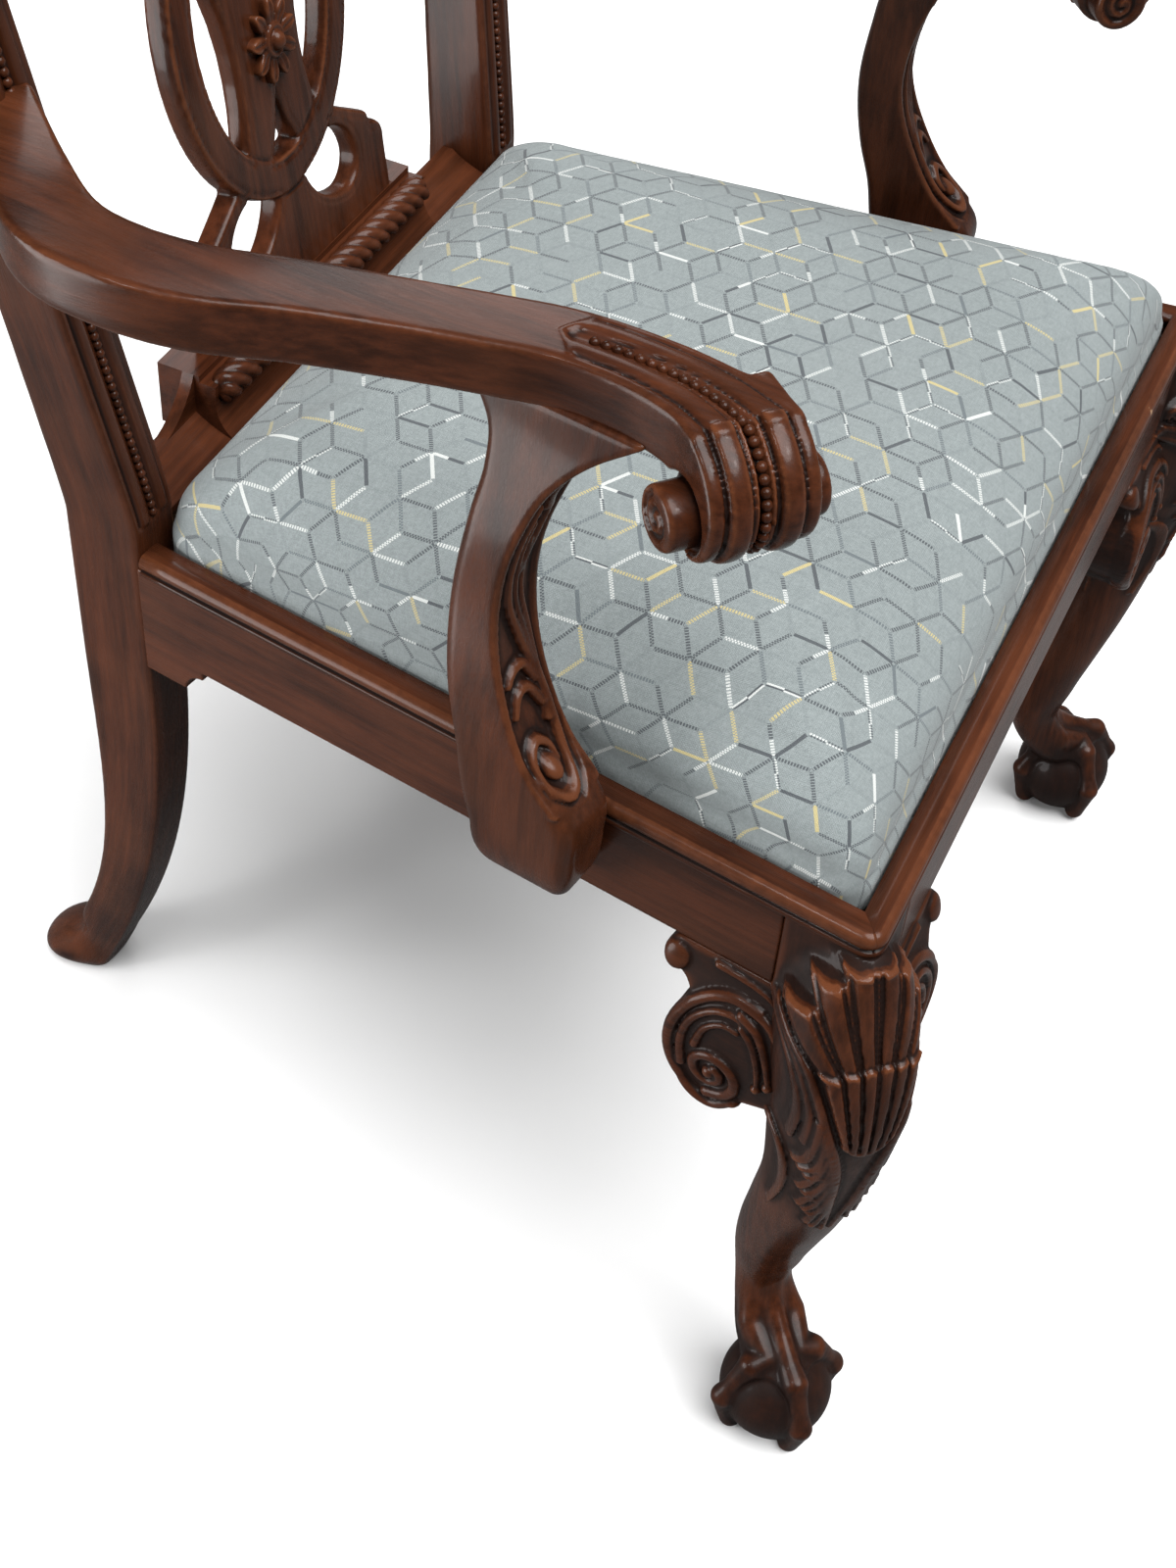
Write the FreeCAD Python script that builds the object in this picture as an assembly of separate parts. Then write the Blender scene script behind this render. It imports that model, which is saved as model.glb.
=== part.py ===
# Carved armchair with cabriole front legs, a pierced splat, scrolled arms and a drop-in seat.
# Millimetres, +Z up, the front faces -Y, left is the sitter's left (+X).
# The model is drawn with Y = 0 on the front rail's face and centred on its box at the end.
import FreeCAD, Part
import math
import os

Vector = FreeCAD.Vector

# Seat plan and heights
front_width = 570.0
rear_width = 445.0
seat_depth = 441.0
seat_height = 440.0
rim_height = 10.0
rim_width = 14.0
rim_round = 6.0
rail_height = 55.0
rail_thickness = 30.0
rebate_depth = 21.0
back_rail_setback = 10.0
back_rail_thickness = 24.0
bracket_drop = 18.0
bracket_length = 38.0

# Joinery
tenon_thickness = 10.0
tenon_length = 18.0
tenon_shoulder = 10.0
fit_clearance = 0.1

# Rear posts
post_width = 36.5
post_depth = 45.0
post_top_depth = 24.0
post_rake = 8.5
post_flare = 0.1
post_chamfer = 3.0
post_bend = 8.0
rear_foot_back = 92.0
rear_foot_in = 30.0
rear_foot_depth = 46.0
rear_ankle_slim = 12.0
rear_pad_height = 9.0
rear_pad_draw = 6.0

# Crest rail
overall_height = 1005.0
crest_dip = 44.0
crest_ear_rise = 24.0
crest_height = 94.0
crest_ear_height = 56.0
crest_thickness = 31.0
crest_overhang = 22.0

# Splat and shoe
splat_thickness = 15.0
splat_setback = 17.5
splat_ring_width = 170.0
splat_ring_height = 220.0
splat_ring_band = 22.5
splat_base_width = 200.0
splat_top_width = 220.0
splat_foot_rise = 89.0
strap_width = 34.0
shoe_height = 40.0
shoe_ridge = 15.0
shoe_depth = 46.0
shoe_middle = 240.0
gadroon_radius = 9.0
gadroon_sides = 16
rosette_radius = 21.0
rosette_height = 8.0

# Front legs
leg_block = 50.0
ball_radius = 33.0
ball_height = 31.5
claw_radius = 8.6
claw_standoff = 2.0

# Knee brackets
bracket_reach = 108.0
bracket_fall = 102.0
bracket_thickness = 30.0
bracket_proud = 11.0
bracket_ear = 9.5

# Arms and their supports
arm_height = 247.0
arm_rise = 18.0
arm_width = 37.0
arm_bow_width = 42.0
arm_thickness = 30.0
arm_bow = 64.5
arm_neck = 14.5
scroll_radius = 40.0
scroll_width = 52.0
scroll_turn = 41.0
scroll_button_radius = 15.0
scroll_button_height = 9.0
support_along = 199.0
support_thickness = 40.0
support_drop = 51.0

# Drop-in seat
seat_gap = 1.5
seat_rest_gap = 0.2
cover_thickness = 1.6
frame_member_width = 48.0
frame_member_height = 20.0
webbing_width = 50.0
webbing_thickness = 1.4
pad_crown = 56.0
seat_front_radius = 12.0
seat_rear_radius = 24.0
corner_steps = 6
cloth_thickness = 0.8
cover_turn_in = 28.0

# Worked out from the sizes above
splay = math.atan((front_width - rear_width) / 2 / seat_depth)
rail_top = seat_height - rim_height
rail_bottom = rail_top - rail_height
ledge = seat_height - rebate_depth
rail_run = seat_depth / math.cos(splay)
along_rail = Vector(-math.sin(splay), math.cos(splay), 0)
out_of_rail = Vector(math.cos(splay), math.sin(splay), 0)
up = Vector(0, 0, 1)
across = Vector(1, 0, 0)
back = Vector(0, 1, 0)
rake = math.radians(post_rake)
back_rail_front = seat_depth + back_rail_setback
back_rail_rear = back_rail_front + back_rail_thickness
splat_front = seat_depth + splat_setback


# Geometry helpers

def side_point(along, out, z):
    """A point by its distance along the left side rail, outwards from its face, and height."""
    return Vector(front_width / 2, 0, z) + along_rail * along + out_of_rail * out


def polygon(points):
    return Part.Face(Part.makePolygon(points + [points[0]]))


def prism(points, low, high):
    """An upright prism on a plan of points."""
    base = [Vector(point.x, point.y, low) for point in points]
    return polygon(base).extrude(up * (high - low))


def box(low, high):
    return Part.makeBox(high.x - low.x, high.y - low.y, high.z - low.z, low)


def side_box(along, out, heights):
    """A box square to the left side rail; along, out and heights are (low, high) pairs."""
    plan = [side_point(along[0], out[0], 0), side_point(along[1], out[0], 0),
            side_point(along[1], out[1], 0), side_point(along[0], out[1], 0)]
    return prism(plan, heights[0], heights[1])


def outline_face(pieces):
    """A flat face from edges in order: a pair of points is a line, three points are an arc."""
    edges = []
    for piece in pieces:
        if len(piece) == 2:
            edges.append(Part.LineSegment(*piece).toShape())
        else:
            edges.append(Part.Arc(*piece).toShape())
    return Part.Face(Part.Wire(edges))


def arc_chain(points):
    """Arcs through each three points in turn, the last of one being the first of the next."""
    return [Part.Arc(*points[start:start + 3]).toShape() for start in range(0, len(points) - 2, 2)]


flat_enough = 1e-8


def flat_faces(a, b, c, d):
    """One face where the four corners lie in a plane, else two."""
    normal = (b - a).cross(d - a)
    if abs((c - a).dot(normal)) < flat_enough * normal.Length:
        return [polygon([a, b, c, d])]
    return [polygon([a, b, c]), polygon([a, c, d])]


def loft(sections):
    """A solid through rings of points, with flat facets from ring to ring."""
    faces = [polygon(sections[0]), polygon(sections[-1])]
    for low, high in zip(sections, sections[1:]):
        for number in range(len(low)):
            faces += flat_faces(low[number - 1], low[number], high[number], high[number - 1])
    solid = Part.makeSolid(Part.makeShell(faces))
    if solid.Volume < 0:
        solid.reverse()
    return solid


def eased(rows, between):
    """Rows of numbers with more rows laid smoothly between each pair."""
    result = []
    last = len(rows) - 1
    for number in range(last):
        before, start = rows[max(0, number - 1)], rows[number]
        end, after = rows[number + 1], rows[min(last, number + 2)]
        for step in range(between):
            t = step / between
            row = []
            for a, b, c, d in zip(before, start, end, after):
                bend = (2 * a - 5 * b + 4 * c - d) * t + (3 * b - a - 3 * c + d) * t * t
                row.append(b + 0.5 * t * (c - a + bend))
            result.append(row)
    result.append(list(rows[last]))
    return result


def mirrored(shape):
    """The same piece on the sitter's right."""
    return shape.mirror(Vector(0, 0, 0), Vector(1, 0, 0))


def both_sides(shape):
    return shape.fuse(mirrored(shape))


def fused(first, *others):
    return first.fuse(list(others)).removeSplitter()


def ring_of_points(centre, wide, deep, radius, sides):
    turns = [2 * math.pi * step / sides for step in range(sides)]
    return [centre + (wide * math.cos(turn) + deep * math.sin(turn)) * radius for turn in turns]


def chamfered_rectangle(centre, wide, deep, width, depth, cut):
    """Eight corners of a rectangle with its corners cut, round centre."""
    half_w, half_d = width / 2, depth / 2
    corners = [(half_w - cut, -half_d), (half_w, -half_d + cut), (half_w, half_d - cut), (half_w - cut, half_d),
               (cut - half_w, half_d), (-half_w, half_d - cut), (-half_w, cut - half_d), (cut - half_w, -half_d)]
    return [centre + wide * a + deep * d for a, d in corners]


# Rear posts: floor to crest in one piece

post_straight_low = rail_bottom - bracket_drop
post_straight_high = seat_height + 10
post_inner_x = rear_width / 2 - post_width
post_rail_front = Vector(rear_width / 2 - post_width / 2, seat_depth, 0)


def post_front(z):
    """The middle of the post's front face at a height."""
    shift = Vector(0, 0, z)
    if z < post_straight_low:
        drop = (post_straight_low - z) / post_straight_low
        shift += Vector(-rear_foot_in * drop ** 1.7, rear_foot_back * drop ** 2.1, 0)
    if z > post_straight_high:
        rise = z - post_straight_high
        rise -= post_bend * (1 - math.exp(-rise / post_bend))
        shift += Vector(post_flare * rise, math.tan(rake) * rise, 0)
    return post_rail_front + shift


def post_depth_at(z):
    if z < post_straight_low:
        drop = (post_straight_low - z) / post_straight_low
        slim = rear_ankle_slim * 6.75 * drop ** 2 * (1 - drop)
        return post_depth + (rear_foot_depth - post_depth) * drop - slim
    rise = max(0.0, z - post_straight_high) / (overall_height - post_straight_high)
    return post_depth + (post_top_depth - post_depth) * rise


def post_section(z, draw=0.0):
    depth = post_depth_at(z)
    centre = post_front(z) + back * (depth / 2)
    return chamfered_rectangle(centre, across, back, post_width - draw, depth - draw, post_chamfer)


stile_rise = overall_height - crest_height / 2 - post_straight_high
post_heights = [post_straight_low * share / 12 for share in range(1, 13)]
post_heights += [post_straight_high + stile_rise * share for share in (0.0, 0.02, 0.05, 1.0)]
post_sections = [post_section(0, rear_pad_draw), post_section(rear_pad_height)]
post_blank = loft(post_sections + [post_section(z) for z in post_heights])


# Front legs: cabriole with a ball-and-claw foot, drawn on the corner's diagonal

corner = Vector(front_width / 2, 0, 0)
diagonal = Vector(math.sqrt(0.5), -math.sqrt(0.5), 0)
across_diagonal = Vector(math.sqrt(0.5), math.sqrt(0.5), 0)
ball_centre = corner + up * ball_height
block_inner_x = front_width / 2 - leg_block
block_inner_out = (block_inner_x - side_point(leg_block, 0, 0).x) / math.cos(splay)
block_inner = side_point(leg_block, block_inner_out, 0)
block_plan = [corner, side_point(leg_block, 0, 0), block_inner, Vector(block_inner_x, 0, 0)]
leg_drop = rail_bottom
leg_sides = 16
ball_sides = 16
ball_bands = 9
claw_sides = 8


def leg_section(height, outward, inward, half_width):
    """A soft four-sided section from its reach out of and into the corner along the diagonal."""
    middle = corner + diagonal * ((outward + inward) / 2) + up * height
    half_long = (outward - inward) / 2
    softness = 0.84
    points = []
    for step in range(leg_sides):
        turn = 2 * math.pi * step / leg_sides
        c, s = math.cos(turn), math.sin(turn)
        long_part = math.copysign(abs(c) ** softness, c) * half_long
        wide_part = math.copysign(abs(s) ** softness, s) * half_width
        points.append(middle + diagonal * long_part + across_diagonal * wide_part)
    return points


# height as a share of the drop under the rail, then outward and inward reach and half width
leg_shape = [(1.12, 0, -50, 14), (1.067, 9, -52, 23), (1.0, 18, -54, 30), (0.933, 25, -54, 33),
             (0.867, 28, -50, 32), (0.8, 26, -46, 30), (0.72, 21, -41, 28), (0.65, 16, -38, 26.5),
             (0.515, 3, -46, 24.5), (0.427, -8, -53, 22.5), (0.347, -17, -57, 19.5), (0.25, -22, -54, 15.5),
             (0.208, -12, -48, 17), (0.165, 5, -36, 20), (0.125, 14, -20, 17)]


def claw(angle):
    """One knuckled toe that grips the ball, at an angle round it from the outward diagonal."""
    facing = diagonal * math.cos(angle) + across_diagonal * math.sin(angle)
    rings = []
    for joint in range(9):
        tilt = math.radians(74 - 16 * joint)
        swell = 1.0 + 0.22 * math.cos(math.radians(90 * joint)) - 0.055 * joint
        radial = facing * math.cos(tilt) + up * math.sin(tilt)
        centre = ball_centre + radial * (ball_radius + claw_standoff)
        beside = facing.cross(up)
        rings.append(ring_of_points(centre, radial, beside, claw_radius * swell, claw_sides))
    return loft(rings)


def ball():
    """The ball in the claw, between two small flats."""
    rings = []
    for band in range(ball_bands + 1):
        tilt = math.pi * (band + 0.4) / (ball_bands + 0.8)
        radius = ball_radius * math.sin(tilt)
        centre = ball_centre + up * (ball_radius * math.cos(tilt))
        rings.append(ring_of_points(centre, diagonal, across_diagonal, radius, ball_sides))
    return loft(rings)


def front_leg():
    block = prism(block_plan, rail_bottom, rail_top)
    cabriole = loft([leg_section(share * leg_drop, *reach) for share, *reach in eased(leg_shape, 2)])
    claws = [claw(math.radians(angle)) for angle in (0, 88, 180, 272)]
    leg = fused(block, cabriole, ball(), *claws)
    floor_cut = box(corner + Vector(-100, -100, -60), corner + Vector(100, 100, 0))
    return leg.cut(floor_cut)


# Seat rails, rim and the well that the seat drops into

well_plan = [side_point(rim_width / math.cos(splay), -rim_width, 0), side_point(rail_run, -rim_width, 0)]
well_front = Vector(well_plan[0].x + (well_plan[0].y - rim_width) * math.tan(splay), rim_width, 0)
well_plan = [well_front, Vector(well_plan[1].x, seat_depth + 30, 0)]
well_plan += [Vector(-point.x, point.y, 0) for point in reversed(well_plan)]
seat_well = prism(well_plan, ledge, seat_height + 50)

tenon_low = rail_bottom + tenon_shoulder
tenon_high = ledge - 2
tenon_out = -rail_thickness / 2


def tenon(along, grow=0.0):
    """A tenon on the side rail's line, grown by a clearance to cut its mortise."""
    half = tenon_thickness / 2 + grow
    return side_box((along[0] - grow, along[1] + grow), (tenon_out - half, tenon_out + half),
                    (tenon_low - grow, tenon_high + grow))


front_tenon_run = (leg_block - tenon_length, leg_block + 1)
rear_tenon_run = (rail_run - 1, rail_run + tenon_length)


def side_rail():
    """Side rail with its stepped bracket at the rear post."""
    rear = rail_run + 8
    step = rail_run - bracket_length
    low = rail_bottom - bracket_drop
    cusp = bracket_drop * 0.3

    def at(along, z):
        return side_point(along, 0, z)

    run = bracket_drop - cusp
    profile = outline_face([
        (at(leg_block, rail_bottom), at(step, rail_bottom)),
        (at(step, rail_bottom), at(step, rail_bottom - cusp)),
        (at(step, rail_bottom - cusp), at(step + run * 0.7, rail_bottom - cusp - run * 0.3), at(step + run, low)),
        (at(step + run, low), at(rear, low)),
        (at(rear, low), at(rear, rail_top)),
        (at(rear, rail_top), at(leg_block, rail_top)),
        (at(leg_block, rail_top), at(leg_block, rail_bottom))])
    rail = profile.extrude(out_of_rail * -rail_thickness).cut(post_blank).cut(seat_well)
    return fused(rail, tenon(front_tenon_run), tenon(rear_tenon_run))


front_tenon_low = Vector(block_inner_x - 1, rail_thickness / 2 - tenon_thickness / 2, tenon_low)
front_tenon_high = Vector(block_inner_x + tenon_length, rail_thickness / 2 + tenon_thickness / 2, tenon_high)
grown = Vector(fit_clearance, fit_clearance, fit_clearance)


def front_rail():
    rail = box(Vector(-block_inner_x, 0, rail_bottom), Vector(block_inner_x, rail_thickness, rail_top))
    stub = box(front_tenon_low, front_tenon_high)
    return fused(rail.cut(seat_well), stub, mirrored(stub))


back_tenon_length = post_width / 2 - tenon_thickness / 2 - 3


def back_tenon(grow=0.0):
    """The back rail's tenon, square to the post's inner face."""
    middle = (back_rail_front + back_rail_rear) / 2
    half = tenon_thickness / 2 + grow
    return box(Vector(post_inner_x - 1, middle - half, tenon_low - grow),
               Vector(post_inner_x + back_tenon_length + grow, middle + half, tenon_high + grow))


def back_rail():
    half = post_inner_x + 4
    rail = box(Vector(-half, back_rail_front, rail_bottom), Vector(half, back_rail_rear, seat_height))
    for post in (post_blank, mirrored(post_blank)):
        rail = rail.cut(post)
    middle = max(rail.Solids, key=lambda solid: solid.Volume)
    stub = back_tenon()
    return fused(middle, stub, mirrored(stub))


def seat_rims():
    """Three strips mitred at the front corners, rounded along the outer top edge."""
    inner_front = well_plan[0]
    rear = rail_run + 6
    front_plan = [corner, Vector(-corner.x, 0, 0), Vector(-inner_front.x, inner_front.y, 0), inner_front]
    side_plan = [corner, side_point(rear, 0, 0), side_point(rear, -rim_width, 0), inner_front]
    front = prism(front_plan, rail_top, seat_height)
    side = prism(side_plan, rail_top, seat_height)

    def rounded(strip, middle):
        outer = [edge for edge in strip.Edges if (edge.CenterOfMass - middle).Length < 0.01]
        return strip.makeFillet(rim_round, outer)

    front = rounded(front, Vector(0, 0, seat_height))
    side = rounded(side, side_point(rear / 2, 0, seat_height)).cut(post_blank)
    return front, side


# Back: crest rail, splat, rosette and shoe

crest_half = post_front(overall_height - crest_height).x + post_width / 2 + crest_overhang
crest_line = overall_height - crest_height
crest_back = post_front(crest_line).y + post_depth_at(crest_line) / 2
crest_hollow = splat_front + splat_thickness / 2 + math.tan(rake) * (crest_line - seat_height) - crest_back


def crest_section(share):
    """A section of the crest at a share of its half length: raised middle, dip, then a lifted ear."""
    x = crest_half * share
    t = abs(share)
    rise = 0.5 + 0.5 * math.cos(math.pi * min(1.0, t / 0.62))
    ear = max(0.0, (t - 0.62) / 0.38) ** 1.6
    top = overall_height - crest_dip * (1 - rise) + crest_ear_rise * ear
    height = crest_height - crest_dip * 0.55 * (1 - rise) + (crest_ear_height - crest_height * 0.62) * ear
    bottom = top - height
    thickness = crest_thickness * (1 - 0.22 * ear)
    lean = math.tan(rake) * (top - overall_height + crest_height / 2)
    place = crest_back + crest_hollow * (1 - t * t) + lean
    centre = Vector(x, place, (top + bottom) / 2)
    slope = Vector(0, math.sin(rake), math.cos(rake))
    facing = Vector(0, math.cos(rake), -math.sin(rake))
    return chamfered_rectangle(centre, facing, slope, thickness, height, thickness * 0.24)


crest_steps = 13
crest_blank = loft([crest_section(step / crest_steps) for step in range(-crest_steps, crest_steps + 1)])

splat_base = seat_height + shoe_height
ring_centre = splat_base + splat_foot_rise + splat_ring_height / 2 - 40
splat_tilt = FreeCAD.Placement(Vector(0, splat_front, seat_height), FreeCAD.Rotation(Vector(1, 0, 0), -post_rake))


def on_splat(x, z):
    """A point of the splat's front before it is tilted back; z is a height above the floor."""
    return Vector(x, 0, (z - seat_height) / math.cos(rake))


def splat_panel(face):
    return face.extrude(Vector(0, splat_thickness, 0))


def splat_ellipse(half_width, half_height):
    middle = on_splat(0, ring_centre)
    tall = Part.Ellipse(on_splat(0, ring_centre + half_height), on_splat(half_width, ring_centre), middle)
    return splat_panel(Part.Face(Part.Wire(tall.toShape())))


def half_outline(pieces):
    """A face from the right half of an outline, which starts and ends on the middle line, and its mirror."""
    mirror = [tuple(Vector(-point.x, point.y, point.z) for point in reversed(piece)) for piece in reversed(pieces)]
    return outline_face(pieces + mirror)


ring_bottom = ring_centre - splat_ring_height / 2
ring_top = ring_centre + splat_ring_height / 2


def splat_foot():
    """Lower panel with stepped shoulders that run into the ring."""
    half = splat_base_width / 2
    neck = ring_bottom + 24
    return splat_panel(half_outline([
        (on_splat(0, splat_base), on_splat(half, splat_base)),
        (on_splat(half, splat_base), on_splat(half, neck - 43)),
        (on_splat(half, neck - 43), on_splat(half - 2.5, neck - 32), on_splat(half - 12, neck - 28)),
        (on_splat(half - 12, neck - 28), on_splat(half - 14, neck - 20)),
        (on_splat(half - 14, neck - 20), on_splat(half - 28, neck - 12), on_splat(half - 48, neck)),
        (on_splat(half - 48, neck), on_splat(0, neck))]))


def splat_head():
    """Upper panel that spreads from the ring to the crest."""
    half = splat_top_width / 2
    neck = ring_top - 24
    crown = overall_height - crest_height / 2
    waist = splat_base_width / 2 - 30
    return splat_panel(half_outline([
        (on_splat(0, neck), on_splat(waist - 18, neck)),
        (on_splat(waist - 18, neck), on_splat(waist + 2, neck + 12), on_splat(waist + 16, neck + 20)),
        (on_splat(waist + 16, neck + 20), on_splat(waist + 18, neck + 28)),
        (on_splat(waist + 18, neck + 28), on_splat(waist + 25, neck + 34), on_splat(waist + 26, neck + 46)),
        (on_splat(waist + 26, neck + 46), on_splat(waist + 4, neck + 84), on_splat(half, crown - 52)),
        (on_splat(half, crown - 52), on_splat(half, crown)),
        (on_splat(half, crown), on_splat(0, crown))]))


def teardrop(direction):
    """Pierced drop beside the ring, below it (direction 1) or above it (direction -1)."""
    tip = ring_bottom if direction > 0 else ring_top
    shape = [(15, 1), (28, -18), (49, -28), (62, -26), (69, -14), (63, 2), (47, 13), (30, 12), (15, 1)]
    points = [on_splat(x, tip + direction * rise) for x, rise in shape]
    return splat_panel(Part.Face(Part.Wire(arc_chain(points))))


def slot(x, low, high, lean, half_width):
    """Pointed slot in the upper panel."""
    middle = (low + high) / 2
    return splat_panel(outline_face([
        (on_splat(x, low), on_splat(x + lean - half_width, middle), on_splat(x + 2 * lean, high)),
        (on_splat(x + 2 * lean, high), on_splat(x + lean + half_width, middle), on_splat(x, low))]))


rosette_centre = ring_centre - 22


def strap():
    """One of the two straps that bend towards each other inside the ring and meet under the rosette."""
    top = ring_centre + 62
    foot = ring_bottom + 8
    inner = 3.0
    outer = inner - strap_width
    return splat_panel(outline_face([
        (on_splat(outer - 34, top), on_splat(outer, rosette_centre - 4), on_splat(outer - 16, foot)),
        (on_splat(outer - 16, foot), on_splat(inner - 26, foot)),
        (on_splat(inner - 26, foot), on_splat(inner, rosette_centre), on_splat(inner - 42, top)),
        (on_splat(inner - 42, top), on_splat(outer - 34, top))]))


splat_tongue = 10.0
tongue_thickness = splat_thickness - 5


def splat_bottom_tongue(grow=0.0):
    half = splat_base_width / 2 - 10 + grow
    low = on_splat(0, splat_base).z - splat_tongue - grow
    side = (splat_thickness - tongue_thickness) / 2 - grow
    return box(Vector(-half, side, low), Vector(half, splat_thickness - side, low + splat_tongue + grow + 1))


def splat_top_tongue(grow=0.0):
    half = splat_top_width / 2 - 12 + grow
    low = on_splat(0, overall_height - crest_height - 10).z
    high = on_splat(0, overall_height - crest_height * 0.7).z + grow
    side = (splat_thickness - tongue_thickness) / 2 - grow
    return box(Vector(-half, side, low), Vector(half, splat_thickness - side, high))


def placed_on_splat(shape):
    copy = shape.copy()
    copy.Placement = splat_tilt.multiply(copy.Placement)
    return copy


def splat():
    band = splat_ring_band
    outside = splat_ellipse(splat_ring_width / 2, splat_ring_height / 2)
    inside = splat_ellipse(splat_ring_width / 2 - band, splat_ring_height / 2 - band)
    panels = splat_foot().fuse(splat_head())
    for direction in (1, -1):
        panels = panels.cut(both_sides(teardrop(direction)))
    head_low = ring_top + 30
    head_high = overall_height - crest_height - 14
    panels = panels.cut(slot(0, head_low, head_high, 0, 9))
    panels = panels.cut(both_sides(slot(26, head_low + 26, head_high, 20, 9)))
    straps = both_sides(strap()).common(outside)
    panel = panels.fuse(outside).cut(inside).fuse(straps).removeSplitter()
    panel = placed_on_splat(panel).cut(crest_blank)
    panel = max(panel.Solids, key=lambda solid: solid.Volume)
    tongues = [placed_on_splat(splat_bottom_tongue()), placed_on_splat(splat_top_tongue())]
    return fused(panel, *tongues)


def rosette():
    """Petalled disc with a round boss."""
    petals = 10
    rim = []
    for step in range(2 * petals):
        turn = math.pi * step / petals
        radius = rosette_radius * (0.84 if step % 2 else 1.0)
        rim.append(Vector(radius * math.sin(turn), 0, radius * math.cos(turn)))
    disc = polygon(rim).extrude(Vector(0, -rosette_height * 0.55, 0))
    boss = Part.makeCone(rosette_radius * 0.36, rosette_radius * 0.2, rosette_height, Vector(0, 0, 0), back * -1)
    flower = fused(disc, boss)
    flower.translate(on_splat(0, rosette_centre))
    return placed_on_splat(flower)


gadroon_line = Vector(0, seat_depth + gadroon_radius + 4.5, seat_height + shoe_height - gadroon_radius)


def gadroon():
    """Round roll with domed ends."""
    half = shoe_middle / 2 - 3
    rings = []
    for side in (-1, 1):
        for inset, share in ((0.0, 0.45), (0.25, 0.8), (0.7, 1.0))[::-side]:
            centre = gadroon_line + across * (side * (half - inset * gadroon_radius))
            rings.append(ring_of_points(centre, back, up, share * gadroon_radius, gadroon_sides))
    return loft(rings)


def splat_shoe():
    """Hollow-faced piece over the back rail, raised in the middle to hold the splat."""
    front = seat_depth + 3
    rear = seat_depth + shoe_depth + 4
    low = seat_height
    ridge = seat_height + shoe_ridge
    high = seat_height + shoe_height
    half = post_inner_x + 8
    crest_line = back_rail_rear

    def at(x, y, z):
        return Vector(x, y, z)

    hollow = outline_face([
        (at(-half, front, low), at(-half, crest_line, low)), (at(-half, crest_line, low), at(-half, crest_line, ridge)),
        (at(-half, crest_line, ridge), at(-half, crest_line - 7, ridge)),
        (at(-half, crest_line - 7, ridge), at(-half, front + 12, low + 8), at(-half, front, low + 4)),
        (at(-half, front, low + 4), at(-half, front, low))]).extrude(Vector(2 * half, 0, 0))
    end = -shoe_middle / 2
    seat = gadroon_line.y
    step = 4.0
    lip = seat + gadroon_radius + 1
    middle = outline_face([
        (at(end, front, low), at(end, rear, low)), (at(end, rear, low), at(end, rear, high)),
        (at(end, rear, high), at(end, lip, high)), (at(end, lip, high), at(end, lip, high - step)),
        (at(end, lip, high - step), at(end, seat, high - step)),
        (at(end, seat, high - step), at(end, seat, high - gadroon_radius - step)),
        (at(end, seat, high - gadroon_radius - step), at(end, seat - 3, low + 12), at(end, front, low + 4)),
        (at(end, front, low + 4), at(end, front, low))]).extrude(Vector(shoe_middle, 0, 0))
    sweep_end = shoe_middle / 2 + 55
    sweep = half_outline([
        (at(0, crest_line, low), at(sweep_end, crest_line, low)),
        (at(sweep_end, crest_line, low), at(sweep_end, crest_line, ridge)),
        (at(sweep_end, crest_line, ridge), at(shoe_middle / 2 + 18, crest_line, ridge + 5),
         at(shoe_middle / 2, crest_line, high)),
        (at(shoe_middle / 2, crest_line, high), at(0, crest_line, high))]).extrude(Vector(0, -7, 0))
    shoe = fused(hollow, middle, sweep).cut(gadroon())
    for post in (post_blank, mirrored(post_blank)):
        shoe = shoe.cut(post)
    shoe = max(shoe.Solids, key=lambda solid: solid.Volume)
    shoe = shoe.cut(placed_on_splat(splat_bottom_tongue(fit_clearance)))
    return shoe.cut(placed_on_splat(splat_foot()))


# Knee brackets

def knee_bracket(at, depth):
    """A C-scrolled bracket; at(along, height) gives points on its face and depth its extrusion."""
    reach = bracket_reach
    top = rail_bottom
    low = rail_bottom - bracket_fall
    volute = reach - 38
    ear = reach - bracket_ear
    return outline_face([
        (at(leg_block - 14, top), at(ear, top)),
        (at(ear, top), at(reach, top - bracket_ear), at(ear, top - 2 * bracket_ear)),
        (at(ear, top - 2 * bracket_ear), at(ear - 9, top - 27), at(ear - 6, top - 40)),
        (at(ear - 6, top - 40), at(ear + 1, top - 66), at(volute + 16, low + 12)),
        (at(volute + 16, low + 12), at(volute + 1, low), at(volute - 14, low + 10)),
        (at(volute - 14, low + 10), at(leg_block - 14, low + 24)),
        (at(leg_block - 14, low + 24), at(leg_block - 14, top))]).extrude(depth)


def side_knee_bracket():
    return knee_bracket(lambda along, z: side_point(along, bracket_proud, z), out_of_rail * -bracket_thickness)


def front_knee_bracket():
    return knee_bracket(lambda along, z: Vector(front_width / 2 - along, -bracket_proud, z),
                        Vector(0, bracket_thickness, 0))


# Arms and supports, drawn on the left side rail's line

arm_top = seat_height + arm_height
arm_under = arm_top - arm_thickness
arm_joint_height = arm_top + arm_rise - arm_thickness / 2
arm_joint = post_front(arm_joint_height)


def arm_point(behind_post, out, rise):
    """A point of the arm's top line by its distance in front of the post, out of the rail's face and rise."""
    return side_point(rail_run - behind_post, out, arm_top + rise)


scroll_out = -arm_neck + 3
scroll_centre = side_point(support_along - 89, scroll_out, arm_top - 3 - scroll_radius)
scroll_turned = splay + math.radians(scroll_turn)
scroll_forward = Vector(math.sin(scroll_turned - splay), -math.cos(scroll_turned - splay), 0)
scroll_axis = Vector(scroll_forward.y, -scroll_forward.x, 0)

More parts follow.
